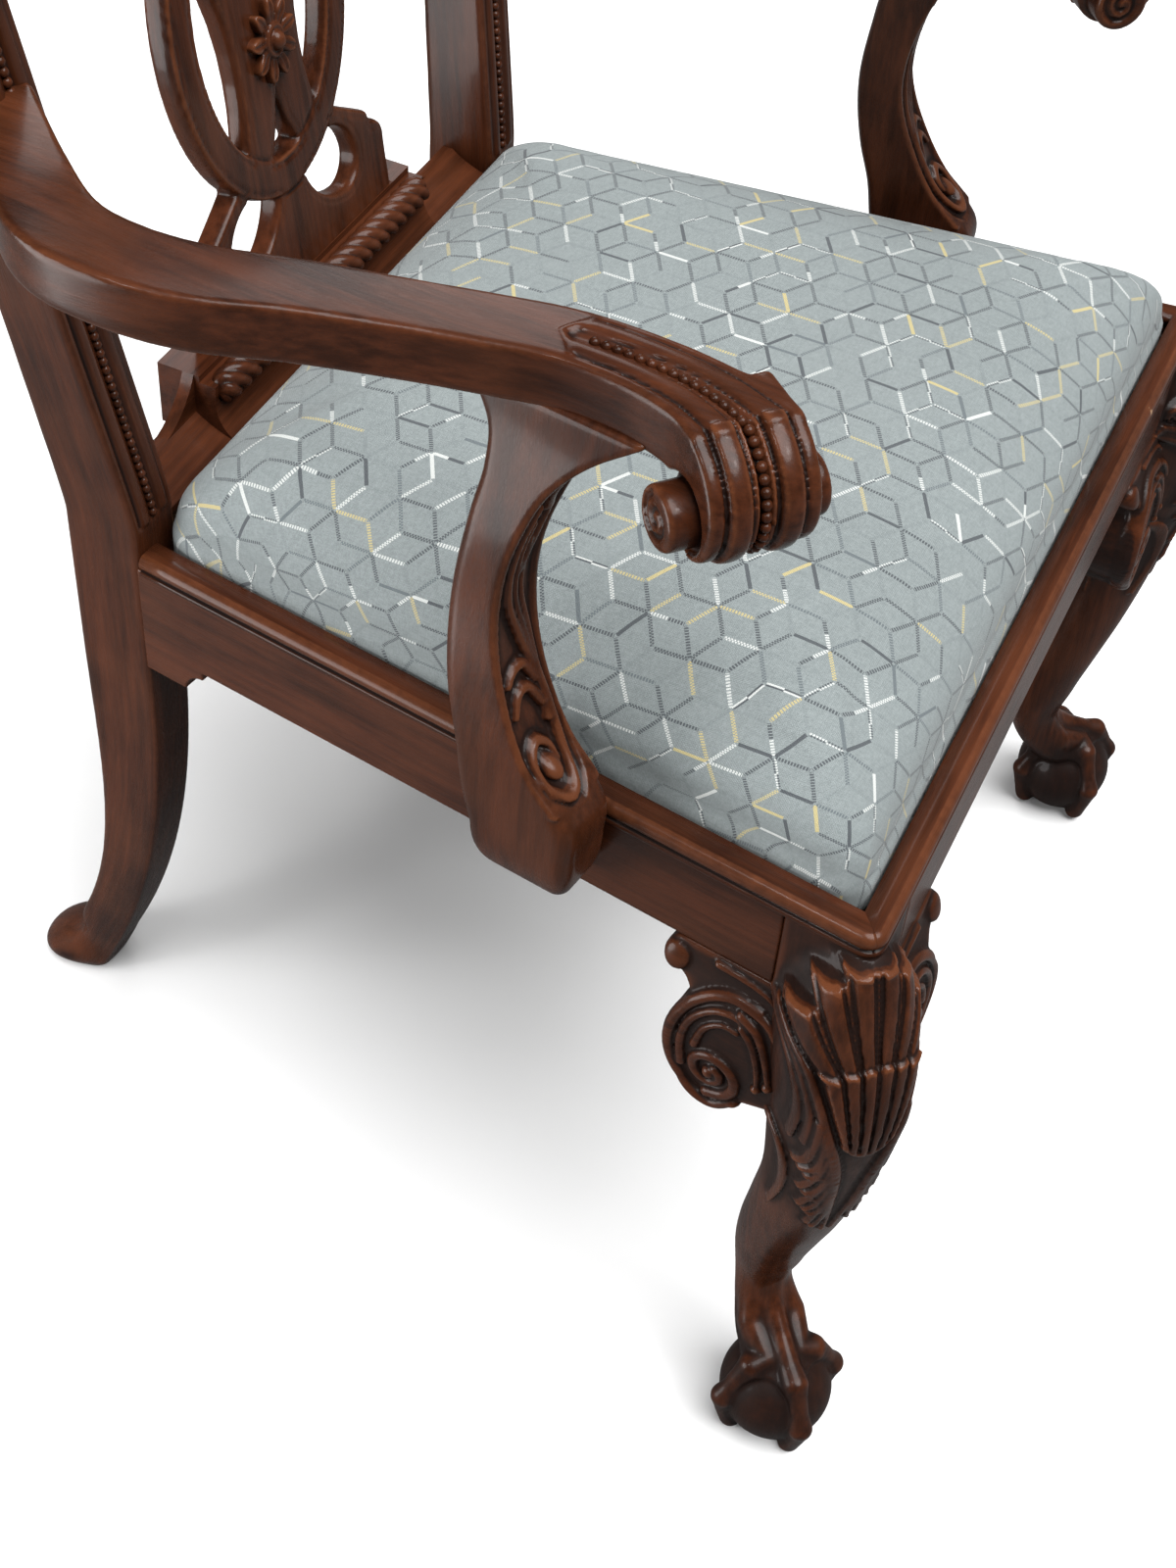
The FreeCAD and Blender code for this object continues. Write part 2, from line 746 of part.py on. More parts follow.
# top line of the arm and its width: the bow follows the post, the neck and scroll follow the support
arm_line = [
    (Vector(arm_joint.x + 5, arm_joint.y + 6, arm_top + arm_rise), arm_width - 6),
    (arm_point(2, arm_bow - 19, arm_rise - 2), arm_width),
    (arm_point(36, arm_bow, arm_rise - 6), arm_bow_width),
    (arm_point(68, arm_bow, arm_rise - 9), arm_bow_width),
    (arm_point(102, arm_bow - 11, arm_rise - 12), arm_bow_width),
    (arm_point(140, arm_bow - 32, 4), arm_width + 2),
    (side_point(support_along + 67, 12, arm_top + 1), arm_width),
    (side_point(support_along + 33, 2 - arm_neck / 3, arm_top), arm_width),
    (side_point(support_along, -arm_neck, arm_top), arm_width),
    (side_point(support_along - 35, -arm_neck - 4, arm_top), arm_width + 2),
    (side_point(support_along - 65, -arm_neck - 3, arm_top - 1), arm_width + 7),
    (scroll_centre + up * scroll_radius, scroll_width - 1)]


def arm_sections():
    sections = []
    line = eased([(top.x, top.y, top.z, width) for top, width in arm_line], 2)
    last = len(line) - 1
    for number, (x, y, z, width) in enumerate(line):
        top = Vector(x, y, z)
        before = line[max(0, number - 1)]
        after = line[min(last, number + 1)]
        heading = scroll_forward if number == last else Vector(after[0] - before[0], after[1] - before[1], 0)
        sideways = Vector(-heading.y, heading.x, 0).normalize()
        centre = top - up * (arm_thickness / 2)
        sections.append(chamfered_rectangle(centre, sideways, up, width, arm_thickness, 4.5))
    return sections


def arm_scroll():
    """The end of the arm rolls down and under in a tightening curl, with a button at its eye."""
    start_angle, end_angle, steps = 90, -215, 13
    end_radius = scroll_radius * 0.45
    curl = []
    for step in range(steps):
        share = step / (steps - 1)
        turn = math.radians(start_angle + (end_angle - start_angle) * share)
        radius = end_radius + (scroll_radius - end_radius) * (1 - share) ** 3
        curl.append(scroll_centre + scroll_forward * (radius * math.cos(turn)) + up * (radius * math.sin(turn)))
    behind = scroll_centre - scroll_forward * 16
    back_top = behind + up * scroll_radius
    back_low = behind + up * (scroll_radius - arm_thickness + 2)
    ends = Part.makePolygon([curl[-1], back_low, back_top, curl[0]])
    roll = Part.Face(Part.Wire(arc_chain(curl) + ends.Edges)).extrude(scroll_axis * scroll_width)
    roll.translate(scroll_axis * (-scroll_width / 2))
    reach = scroll_width / 2 + scroll_button_height
    button = Part.makeCylinder(scroll_button_radius, 2 * reach, scroll_centre - scroll_axis * reach, scroll_axis)
    return fused(roll, button)


arm_tenon_radius = 7.0
arm_tenon_length = 20.0
support_tenon_radius = 9.0
support_tenon_length = 17.0


def arm_tenon(grow=0.0):
    centre = Vector(arm_joint.x, arm_joint.y, arm_joint_height)
    return Part.makeCylinder(arm_tenon_radius + grow, arm_tenon_length + 4 + grow, centre - back * 4, back)


def support_tenon(grow=0.0):
    foot = side_point(support_along, -arm_neck, arm_under - 4)
    return Part.makeCylinder(support_tenon_radius + grow, support_tenon_length + 4 + grow, foot, up)


arm_blank = fused(loft(arm_sections()), arm_scroll()).cut(post_blank)
arm_blank = max(arm_blank.Solids, key=lambda solid: solid.Volume)

# height above the rim or below the arm, front and rear edges from the support's middle, lean, thickness change
support_low = [(-support_drop, -39, -20, 12.5, -14), (-support_drop + 9, -47, -6, 18, -3), (-18, -51, 8, 19.5, 0),
               (8, -50, 14, 19.5, 0), (35, -25, 19, 18, 0), (62, -9, 27, 14.5, -2), (108, 5.5, 33, 6, -4)]
support_high = [(-62, -0.5, 29, -0.5, -6), (-38, -10, 26, -6, -6), (-18, -26, 28, -11, -5), (4, -52, 40, -14, -4)]


def arm_support():
    levels = [(seat_height + rise, *rest) for rise, *rest in support_low]
    levels += [(arm_under + rise, *rest) for rise, *rest in support_high]
    sections = []
    for z, front, rear, lean, change in eased(levels, 2):
        centre = side_point(support_along + (front + rear) / 2, lean, z)
        thickness = support_thickness + change
        sections.append(chamfered_rectangle(centre, out_of_rail, along_rail, thickness, rear - front, 5.0))
    blank = loft(sections)
    inside = side_box((support_along - 90, support_along + 90), (-90, 0), (seat_height - 120, seat_height))
    blank = blank.cut(inside).cut(arm_blank)
    body = max(blank.Solids, key=lambda solid: solid.Volume)
    return fused(body, support_tenon())


# Corner blocks

block_low = rail_bottom + tenon_shoulder
block_high = ledge - 1.5
block_reach = 60.0


def front_corner_block():
    inner_side = side_point(leg_block + block_reach, -rail_thickness, 0)
    plan = [Vector(block_inner_x, rail_thickness, 0), Vector(block_inner_x - block_reach, rail_thickness, 0),
            inner_side, side_point(leg_block, -rail_thickness, 0), block_inner]
    return prism(plan, block_low, block_high)


def rear_corner_block():
    start = side_point(rail_run - block_reach, -rail_thickness, 0)
    end = Vector(post_inner_x - block_reach + 8, back_rail_front, 0)
    behind = Vector(post_inner_x + 8, back_rail_front, 0)
    plan = [start, side_point(rail_run + 6, -rail_thickness, 0), behind, end]
    return prism(plan, block_low, block_high).cut(post_blank)


# Drop-in seat

seat_front = rim_width + seat_gap
seat_rear = seat_depth - seat_gap
seat_out = -rim_width - seat_gap


def seat_outline(inset, z, extra_radius=0.0):
    """The seat's outline moved in by inset: straight sides with rounded corners."""
    front = seat_front + inset
    rear = seat_rear - inset
    slope = math.tan(splay)
    side = front_width / 2 + (seat_out - inset) / math.cos(splay)
    corners = [Vector(side - slope * front, front, z), Vector(side - slope * rear, rear, z)]
    corners = corners + [Vector(-point.x, point.y, z) for point in reversed(corners)]
    radii = [seat_front_radius, seat_rear_radius, seat_rear_radius, seat_front_radius]
    points = []
    for number, point in enumerate(corners):
        to_last = (corners[number - 1] - point).normalize()
        to_next = (corners[(number + 1) % 4] - point).normalize()
        half = to_last.getAngle(to_next) / 2
        radius = radii[number] + extra_radius
        inwards = (to_last + to_next).normalize()
        sideways = (to_next - to_last).normalize()
        centre = point + inwards * (radius / math.sin(half))
        sweep = math.pi / 2 - half
        for step in range(corner_steps + 1):
            turn = sweep * (2 * step / corner_steps - 1)
            points.append(centre - inwards * (radius * math.cos(turn)) + sideways * (radius * math.sin(turn)))
    return points


cover_low = ledge + seat_rest_gap
frame_low = cover_low + cover_thickness
frame_high = frame_low + frame_member_height
webbing_high = frame_high + 2 * webbing_thickness
pad_low = webbing_high + 0.2
pad_roll = (seat_rear - seat_front) * 0.35
pad_steps = (0.013, 0.053, 0.15, 0.33, 0.63, 1.0)


def crowned(grow, low):
    """The seat's soft form: upright sides, a rolled edge and a crowned top, grown by a thickness."""
    edge = pad_low + 2
    wires = [seat_outline(cover_thickness - grow, low), seat_outline(cover_thickness - grow, edge)]
    for step in pad_steps:
        inset = pad_roll * step
        rise = pad_crown * (1 - (1 - step) ** 2.6) ** (1 / 2.6)
        wires.append(seat_outline(cover_thickness - grow + inset, edge + rise + grow, inset * 0.2))
    return loft(wires)


def seat_slab(inset, low, high):
    return polygon(seat_outline(inset, low)).extrude(up * (high - low))


def seat_frame():
    """Four members; the front and back run the full width, the sides fit between them."""
    slab = seat_slab(cover_thickness, frame_low, frame_high)
    front_line = seat_front + frame_member_width
    rear_line = seat_rear - frame_member_width
    wide = front_width
    front = slab.common(box(Vector(-wide, -50, frame_low), Vector(wide, front_line, frame_high)))
    back = slab.common(box(Vector(-wide, rear_line, frame_low), Vector(wide, seat_depth + 50, frame_high)))
    side_zone = side_box((-50, rail_run + 50), (seat_out - frame_member_width, 20), (frame_low, frame_high))
    between = box(Vector(-wide, front_line, frame_low), Vector(wide, rear_line, frame_high))
    left = slab.common(side_zone).common(between)
    return front, back, left


def seat_webbing():
    """Straps front to back on the frame, and straps across on top of them."""
    straps = []
    inset = cover_thickness + 12
    outline = seat_slab(inset, frame_high, webbing_high)
    for place in (-1, 0, 1):
        x = place * rear_width * 0.27
        straps.append(outline.common(box(Vector(x - webbing_width / 2, 0, frame_high),
                                         Vector(x + webbing_width / 2, seat_depth, frame_high + webbing_thickness))))
    for place in (-1, 0, 1):
        y = (seat_front + seat_rear) / 2 + place * seat_depth * 0.24
        straps.append(outline.common(box(Vector(-front_width, y - webbing_width / 2, frame_high + webbing_thickness),
                                         Vector(front_width, y + webbing_width / 2, webbing_high))))
    return Part.makeCompound(straps)


def seat_pad():
    return crowned(-0.2, pad_low)


def seat_cover():
    shell = crowned(cover_thickness, cover_low).cut(crowned(0.0, frame_low))
    return shell.cut(seat_slab(cover_turn_in, cover_low - 5, frame_low + 1))


def seat_bottom_cloth():
    return seat_slab(cover_turn_in + fit_clearance, frame_low - cloth_thickness, frame_low)


# Assembly

def build():
    nodes = {}
    stile = post_blank.cut(crest_blank)
    stile = max(stile.Solids, key=lambda solid: solid.Volume)
    top_tenon_low = post_front(overall_height - crest_height - 6) + back * (post_top_depth / 2)
    lean = (post_front(overall_height) - post_front(overall_height - crest_height)).normalize()

    def top_tenon(grow=0.0):
        radius = tenon_thickness * 0.6 + grow
        return Part.makeCylinder(radius, crest_height * 0.55 + grow, top_tenon_low, lean)

    stile = fused(stile, top_tenon())
    stile = stile.cut(tenon(rear_tenon_run, fit_clearance)).cut(back_tenon(fit_clearance))
    stile = stile.cut(arm_tenon(fit_clearance))

    crest = crest_blank.cut(both_sides(top_tenon(fit_clearance)))
    crest = crest.cut(placed_on_splat(splat_top_tongue(fit_clearance)))

    leg = front_leg().cut(seat_well)
    leg = leg.cut(tenon(front_tenon_run, fit_clearance))
    leg = leg.cut(box(front_tenon_low - grown, front_tenon_high + grown))
    knee_side = side_knee_bracket().cut(leg)
    knee_front = front_knee_bracket().cut(leg)

    arm = fused(arm_blank, arm_tenon()).cut(support_tenon(fit_clearance))

    rim_front, rim_side = seat_rims()
    frame_front, frame_back, frame_left = seat_frame()

    pairs = {
        "rear_post": stile, "front_leg": leg, "knee_bracket_side": knee_side, "knee_bracket_front": knee_front,
        "side_rail": side_rail(), "seat_rim": rim_side, "arm": arm,
        "arm_support": arm_support(), "front_corner_block": front_corner_block(),
        "rear_corner_block": rear_corner_block(), "seat_frame": frame_left}
    for name, shape in pairs.items():
        nodes[name + "_left"] = shape
        nodes[name + "_right"] = mirrored(shape)
    nodes.update({
        "front_rail": front_rail(), "back_rail": back_rail(), "seat_rim_front": rim_front, "crest_rail": crest,
        "splat": splat(), "splat_rosette": rosette(), "splat_shoe": splat_shoe(), "shoe_gadroon": gadroon(),
        "seat_frame_front": frame_front, "seat_frame_back": frame_back,
        "seat_webbing": seat_webbing(), "seat_pad": seat_pad(), "seat_cover": seat_cover(),
        "seat_bottom_cloth": seat_bottom_cloth()})
    return nodes


def main():
    os.makedirs("parts", exist_ok=True)
    nodes = build()
    boxes = [shape.optimalBoundingBox() for shape in nodes.values()]
    middle = (min(one.YMin for one in boxes) + max(one.YMax for one in boxes)) / 2
    floor = min(one.ZMin for one in boxes)
    for name, shape in nodes.items():
        shape.translate(Vector(0, -middle, -floor))
        shape.exportStep("parts/" + name + ".step")
        print(name, len(shape.Solids), shape.isValid(), round(shape.Volume / 1000, 1))
    print("moved by", round(-middle, 3), round(-floor, 3))


main()
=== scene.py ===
import math

import bmesh
import bpy
import numpy as np
import openvdb
from mathutils import Matrix, Vector

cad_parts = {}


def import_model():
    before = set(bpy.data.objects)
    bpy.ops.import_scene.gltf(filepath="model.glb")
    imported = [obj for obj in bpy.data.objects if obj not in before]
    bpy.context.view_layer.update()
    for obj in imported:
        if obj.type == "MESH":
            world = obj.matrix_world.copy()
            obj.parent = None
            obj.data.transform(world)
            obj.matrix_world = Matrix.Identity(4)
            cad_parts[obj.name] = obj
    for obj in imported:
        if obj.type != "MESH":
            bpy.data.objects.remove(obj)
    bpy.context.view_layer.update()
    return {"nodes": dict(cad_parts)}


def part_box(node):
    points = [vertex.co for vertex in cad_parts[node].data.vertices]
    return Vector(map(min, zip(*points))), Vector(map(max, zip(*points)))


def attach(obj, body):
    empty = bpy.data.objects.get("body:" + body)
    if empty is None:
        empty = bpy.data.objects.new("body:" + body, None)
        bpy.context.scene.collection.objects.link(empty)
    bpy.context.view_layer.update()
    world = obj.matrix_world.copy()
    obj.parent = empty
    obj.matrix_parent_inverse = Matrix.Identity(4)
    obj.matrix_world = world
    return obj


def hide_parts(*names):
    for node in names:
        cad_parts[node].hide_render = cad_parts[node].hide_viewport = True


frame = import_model()
nodes = frame["nodes"]

# Sizes of the chair in millimetres, as its solids have them
mm = 0.001
front_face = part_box("front_rail")[0][1]
front_width, rear_width, seat_depth = 570.0, 445.0, 441.0
seat_height, rail_bottom, rail_top, ledge = 440.0, 375.0, 430.0, 419.0
rim_width, rim_nose = 14.0, 9.0
leg_block = 50.0
ball_radius, ball_height = 33.0, 31.5
post_width, post_depth, post_top_depth, post_rake = 36.5, 45.0, 24.0, 8.5
post_flare, post_bend = 0.1, 8.0
rear_foot_back, rear_foot_in, rear_foot_depth, rear_ankle_slim = 92.0, 30.0, 46.0, 12.0
post_low, post_high = 357.0, 450.0
overall_height = 1005.0
crest_dip, crest_ear_rise, crest_height, crest_ear_height = 44.0, 24.0, 94.0, 56.0
crest_thickness, crest_overhang = 31.0, 22.0
splat_thickness, splat_front, splat_base = 15.0, 458.5, 480.0
ring_width, ring_height, ring_band, ring_centre = 170.0, 220.0, 22.5, 639.0
splat_base_width, splat_top_width, strap_width = 200.0, 220.0, 34.0
rosette_radius, rosette_height, rosette_centre = 21.0, 8.0, 617.0
gadroon_radius, gadroon_y, gadroon_z, gadroon_half = 9.0, 454.5, 471.0, 117.0
bracket_reach, bracket_fall, bracket_proud, bracket_thickness, bracket_ear = 108.0, 102.0, 11.0, 30.0, 9.5
arm_top, arm_rise, arm_thickness, arm_width, arm_bow_width = 687.0, 18.0, 30.0, 37.0, 42.0
arm_bow, arm_neck = 64.5, 14.5
scroll_radius, scroll_width, scroll_turn = 40.0, 52.0, 41.0
button_radius, button_height = 15.0, 12.0
support_along, support_thickness = 199.0, 40.0
seat_gap, pad_edge, pad_crown = 1.5, 446.0, 56.0
seat_front_radius, seat_rear_radius = 12.0, 24.0

splay = math.atan((front_width - rear_width) / 2 / seat_depth)
rail_run = seat_depth / math.cos(splay)
along_rail = np.array([-math.sin(splay), math.cos(splay), 0.0])
out_of_rail = np.array([math.cos(splay), math.sin(splay), 0.0])
corner = np.array([front_width / 2, 0.0, 0.0])
diagonal = np.array([math.sqrt(0.5), -math.sqrt(0.5), 0.0])
across_diagonal = np.array([math.sqrt(0.5), math.sqrt(0.5), 0.0])
up = np.array([0.0, 0.0, 1.0])
rake = math.radians(post_rake)


# Drawing helpers

def world(points):
    """Millimetres on the drawing to metres in the scene."""
    return np.asarray(points, float) * mm + np.array([0.0, front_face, 0.0])


def drawing(places):
    """Metres in the scene to millimetres on the drawing."""
    return (places - [0.0, front_face, 0.0]) * 1000


def side_point(along, out, z):
    """Points by their distance along the left side rail, out of its face, and height."""
    along, out, z = np.broadcast_arrays(along, out, z)
    return corner + along[..., None] * along_rail + out[..., None] * out_of_rail + z[..., None] * up


def unit(value):
    """The value held between 0 and 1."""
    return np.clip(value, 0, 1)


def bell(distance, width):
    """A soft swell, 1 on its middle line."""
    return np.exp(-(distance / width) ** 2)


def dome(distance, width):
    """A rounded swell, 1 on its middle line and 0 at its width."""
    return np.sqrt(unit(1 - (distance / width) ** 2))


def flowing(points, between):
    """Points with more laid smoothly between each pair."""
    rows = np.array(points, float)
    last = len(rows) - 1
    result = []
    for number in range(last):
        before, start = rows[max(0, number - 1)], rows[number]
        end, after = rows[number + 1], rows[min(last, number + 2)]
        for step in range(between):
            t = step / between
            bend = (2 * before - 5 * start + 4 * end - after) * t
            bend = bend + (3 * start - before - 3 * end + after) * t * t
            result.append(start + 0.5 * t * (end - before + bend))
    result.append(rows[last])
    return np.array(result)


def curve_through(places, values):
    """A smooth function through values at rising places."""
    places, values = np.array(places, float), np.array(values, float)
    steps = np.diff(places)
    slopes = np.diff(values) / steps
    lean = np.empty_like(values)
    lean[0], lean[-1] = slopes[0], slopes[-1]
    lean[1:-1] = (slopes[:-1] * steps[1:] + slopes[1:] * steps[:-1]) / (steps[:-1] + steps[1:])

    def at(x):
        x = np.clip(x, places[0], places[-1])
        number = np.clip(np.searchsorted(places, x) - 1, 0, len(steps) - 1)
        run = steps[number]
        t = (x - places[number]) / run
        a, b = values[number], values[number + 1]
        m, n = lean[number] * run, lean[number + 1] * run
        return a + t * (m + t * (3 * (b - a) - 2 * m - n + t * (2 * (a - b) + m + n)))

    return at


def arc(a, b, c, steps=10):
    """Points of the arc from a through b to c, without a."""
    (ax, ay), (bx, by), (cx, cy) = a, b, c
    d = 2 * (ax * (by - cy) + bx * (cy - ay) + cx * (ay - by))
    sa, sb, sc = ax * ax + ay * ay, bx * bx + by * by, cx * cx + cy * cy
    x = (sa * (by - cy) + sb * (cy - ay) + sc * (ay - by)) / d
    y = (sa * (cx - bx) + sb * (ax - cx) + sc * (bx - ax)) / d
    start, middle, end = (math.atan2(py - y, px - x) for px, py in (a, b, c))
    sweep = (end - start) % (2 * math.pi)
    if (middle - start) % (2 * math.pi) > sweep:
        sweep -= 2 * math.pi
    radius = math.hypot(ax - x, ay - y)
    turns = [start + sweep * step / steps for step in range(1, steps + 1)]
    return [(x + radius * math.cos(turn), y + radius * math.sin(turn)) for turn in turns]


def outline_distance(u, v, points):
    """Distance to a closed outline, negative inside it."""
    shape = np.broadcast(u, v).shape
    best = np.full(shape, 1e9)
    inside = np.zeros(shape, bool)
    for (a, b), (c, d) in zip(points, points[1:] + points[:1]):
        e, f = c - a, d - b
        t = unit(((u - a) * e + (v - b) * f) / (e * e + f * f + 1e-12))
        best = np.minimum(best, (u - a - t * e) ** 2 + (v - b - t * f) ** 2)
        if f:
            inside ^= ((b > v) != (d > v)) & (u < a + e * (v - b) / f)
    return np.where(inside, -1.0, 1.0) * np.sqrt(best)


def rounded_edge(first, second, radius):
    """Two distances met in a rounded outer edge."""
    first, second = first + radius, second + radius
    outside = np.sqrt(np.maximum(first, 0) ** 2 + np.maximum(second, 0) ** 2)
    return outside + np.minimum(np.maximum(first, second), 0) - radius


def joined(first, second, blend):
    """Two distances joined with a soft hollow between them."""
    share = unit(0.5 + 0.5 * (second - first) / blend)
    return second + (first - second) * share - blend * share * (1 - share)


def ridge(u, v, points, width, height, tip=0.35):
    """Height of a rounded carved ridge along points, narrowing to a share of its width."""
    line = flowing(points, 5)
    runs = np.hypot(*np.diff(line, axis=0).T)
    reach = np.concatenate([[0], np.cumsum(runs)]) / runs.sum()
    best = np.zeros(u.shape)
    near = (u > line[:, 0].min() - width) & (u < line[:, 0].max() + width)
    near &= (v > line[:, 1].min() - width) & (v < line[:, 1].max() + width)
    u, v = u[near], v[near]
    found = np.zeros(u.shape)
    for number in range(len(runs)):
        (a, b), (c, d) = line[number], line[number + 1]
        e, f = c - a, d - b
        t = unit(((u - a) * e + (v - b) * f) / (e * e + f * f + 1e-9))
        wide = width * (1 - (1 - tip) * (reach[number] + t * (reach[number + 1] - reach[number])))
        away = np.hypot(u - a - t * e, v - b - t * f)
        found = np.maximum(found, (0.45 + 0.55 * wide / width) * height * dome(away, wide))
    best[near] = found
    return best


def spiral(centre, outer, inner, start, turns, hand=1, steps=14):
    """Points of a spiral from its outer end to its eye."""
    points = []
    for step in range(steps + 1):
        share = step / steps
        angle = math.radians(start) + hand * 2 * math.pi * turns * share
        radius = outer + (inner - outer) * share ** 0.85
        points.append((centre[0] + radius * math.cos(angle), centre[1] + radius * math.sin(angle)))
    return points


# Carved pieces: a field of distances on a lattice, turned into a skin

class Lattice:
    """Evenly spaced places in a box, as three axes that spread over each other."""

    def __init__(self, low, high, step):
        self.low = np.array(low, float)
        self.step = step
        counts = np.ceil((np.array(high, float) - self.low) / step).astype(int) + 1
        axes = [self.low[axis] + step * np.arange(counts[axis]) for axis in range(3)]
        self.x, self.y, self.z = axes[0][:, None, None], axes[1][None, :, None], axes[2][None, None, :]
        self.shape = tuple(counts)

    def near(self, field, reach=7.0):
        """The lattice points close to the surface, as a mask and three flat lists."""
        mask = np.abs(field) < reach
        spread = [np.broadcast_to(axis, self.shape)[mask] for axis in (self.x, self.y, self.z)]
        return mask, spread


def softened(field, passes):
    """The field with each point shared among its neighbours, to ease edges and facets."""
    for _ in range(passes):
        for axis in range(3):
            field = np.swapaxes(field, 0, axis)
            wider = np.concatenate([field[:1], field, field[-1:]])
            field = np.swapaxes(0.25 * wider[:-2] + 0.5 * field + 0.25 * wider[2:], 0, axis)
    return field


def evened(field, step):
    """The field with its slope brought near one, so carving is equally deep everywhere."""
    slopes = np.gradient(field, step)
    return field / np.clip(np.sqrt(sum(slope ** 2 for slope in slopes)), 0.6, 3.0)


def sampled(field, lattice, points):
    """The field read between its lattice points."""
    place = (points - lattice.low) / lattice.step
    base = np.clip(np.floor(place).astype(int), 0, np.array(field.shape) - 2)
    t = place - base
    total = 0.0
    for corner_number in range(8):
        offset = np.array([corner_number >> 2 & 1, corner_number >> 1 & 1, corner_number & 1])
        weight = np.prod(np.where(offset, t, 1 - t), axis=1)
        i, j, k = (base + offset).T
        total = total + weight * field[i, j, k]
    return total


def skin(field, lattice):
    """Points, four-sided faces and edge-or-hollow relief of the field's surface."""
    grid = openvdb.FloatGrid()
    grid.copyFromArray(np.ascontiguousarray(field, np.float32))
    points, quads = grid.convertToQuads(0.0)
    points = points * lattice.step + lattice.low
    spread = max(3, int(round((2.6 / lattice.step) ** 2)))
    relief = sampled(softened(field, spread), lattice, points)
    return points, quads.astype(np.int64), relief / 0.7


def in_scene(name, data):
    """A new object in the scene."""
    thing = bpy.data.objects.new(name, data)
    bpy.context.scene.collection.objects.link(thing)
    return thing


def carried(piece, body, replaced=()):
    """The piece riding on a body and the nodes it stands for."""
    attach(piece, body)
    if replaced:
        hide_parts(*replaced)
    return piece


def mesh_points(mesh):
    """Places of a mesh's points, in metres."""
    places = np.zeros(len(mesh.vertices) * 3)
    mesh.vertices.foreach_get("co", places)
    return places.reshape(-1, 3)


def give_vectors(mesh, name, values):
    layer = mesh.attributes.new(name, "FLOAT_VECTOR", "POINT")
    layer.data.foreach_set("vector", values.astype(np.float32).ravel())


def give_relief(mesh, values):
    layer = mesh.attributes.new("relief", "FLOAT", "POINT")
    layer.data.foreach_set("value", np.asarray(values, np.float32))


def face_outward(mesh):
    work = bmesh.new()
    work.from_mesh(mesh)
    bmesh.ops.recalc_face_normals(work, faces=work.faces)
    work.to_mesh(mesh)
    work.free()


def tube_faces(rings, count):
    """Faces of a closed tube of rings of points, with both ends shut."""
    faces = []
    for start in range(0, (rings - 1) * count, count):
        for one in range(count):
            two = (one + 1) % count
            faces.append([start + one, start + two, start + count + two, start + count + one])
    ends = list(range(count))
    return faces + [ends[::-1], [(rings - 1) * count + one for one in ends]]


def new_piece(name, points, faces, body, material, replaced=(), grain=None, relief=None):
    """A smooth-shaded piece from drawing points, riding on a body."""
    mesh = bpy.data.meshes.new(name)
    mesh.from_pydata(world(points).tolist(), [], [list(face) for face in faces])
    mesh.shade_smooth()
    if grain is not None:
        give_vectors(mesh, "grain", np.asarray(grain, float) * mm)
    if relief is not None:
        give_relief(mesh, relief)
    mesh.materials.append(material)
    return carried(in_scene(name, mesh), body, replaced)


def carved_piece(name, node, points, faces, grain, relief):
    """A piece of the wooden frame that stands for a node."""
    return new_piece(name, points, faces, "frame", mahogany, (node,), grain, relief)


def upright_grain(points):
    """Grain that runs up a piece, from its drawing points."""
    return np.stack([points[:, 2], points[:, 0], points[:, 1]], axis=1)


flip_x = np.array([-1.0, 1.0, 1.0])
right_hand_grain = np.array([830.0, 150.0, 70.0])


def carved_pair(name, made):
    """The left piece and its mirror image, from points, faces, relief and grain on the left."""
    points, faces, relief, grain = made
    carved_piece("carved_" + name + "_left", name + "_left", points, faces, grain, relief)
    carved_piece("carved_" + name + "_right", name + "_right", points * flip_x, faces[:, ::-1],
                 grain + right_hand_grain, relief)


# Finishes

def group_tree(name, inputs, outputs):
    """A shader group with named number, vector and colour sockets."""
    tree = bpy.data.node_groups.new(name, "ShaderNodeTree")
    for label, kind, value in inputs:
        socket = tree.interface.new_socket(label, in_out="INPUT", socket_type="NodeSocket" + kind)
        if value is not None:
            socket.default_value = value
    for label, kind in outputs:
        tree.interface.new_socket(label, in_out="OUTPUT", socket_type="NodeSocket" + kind)
    return tree, tree.nodes.new("NodeGroupInput"), tree.nodes.new("NodeGroupOutput")


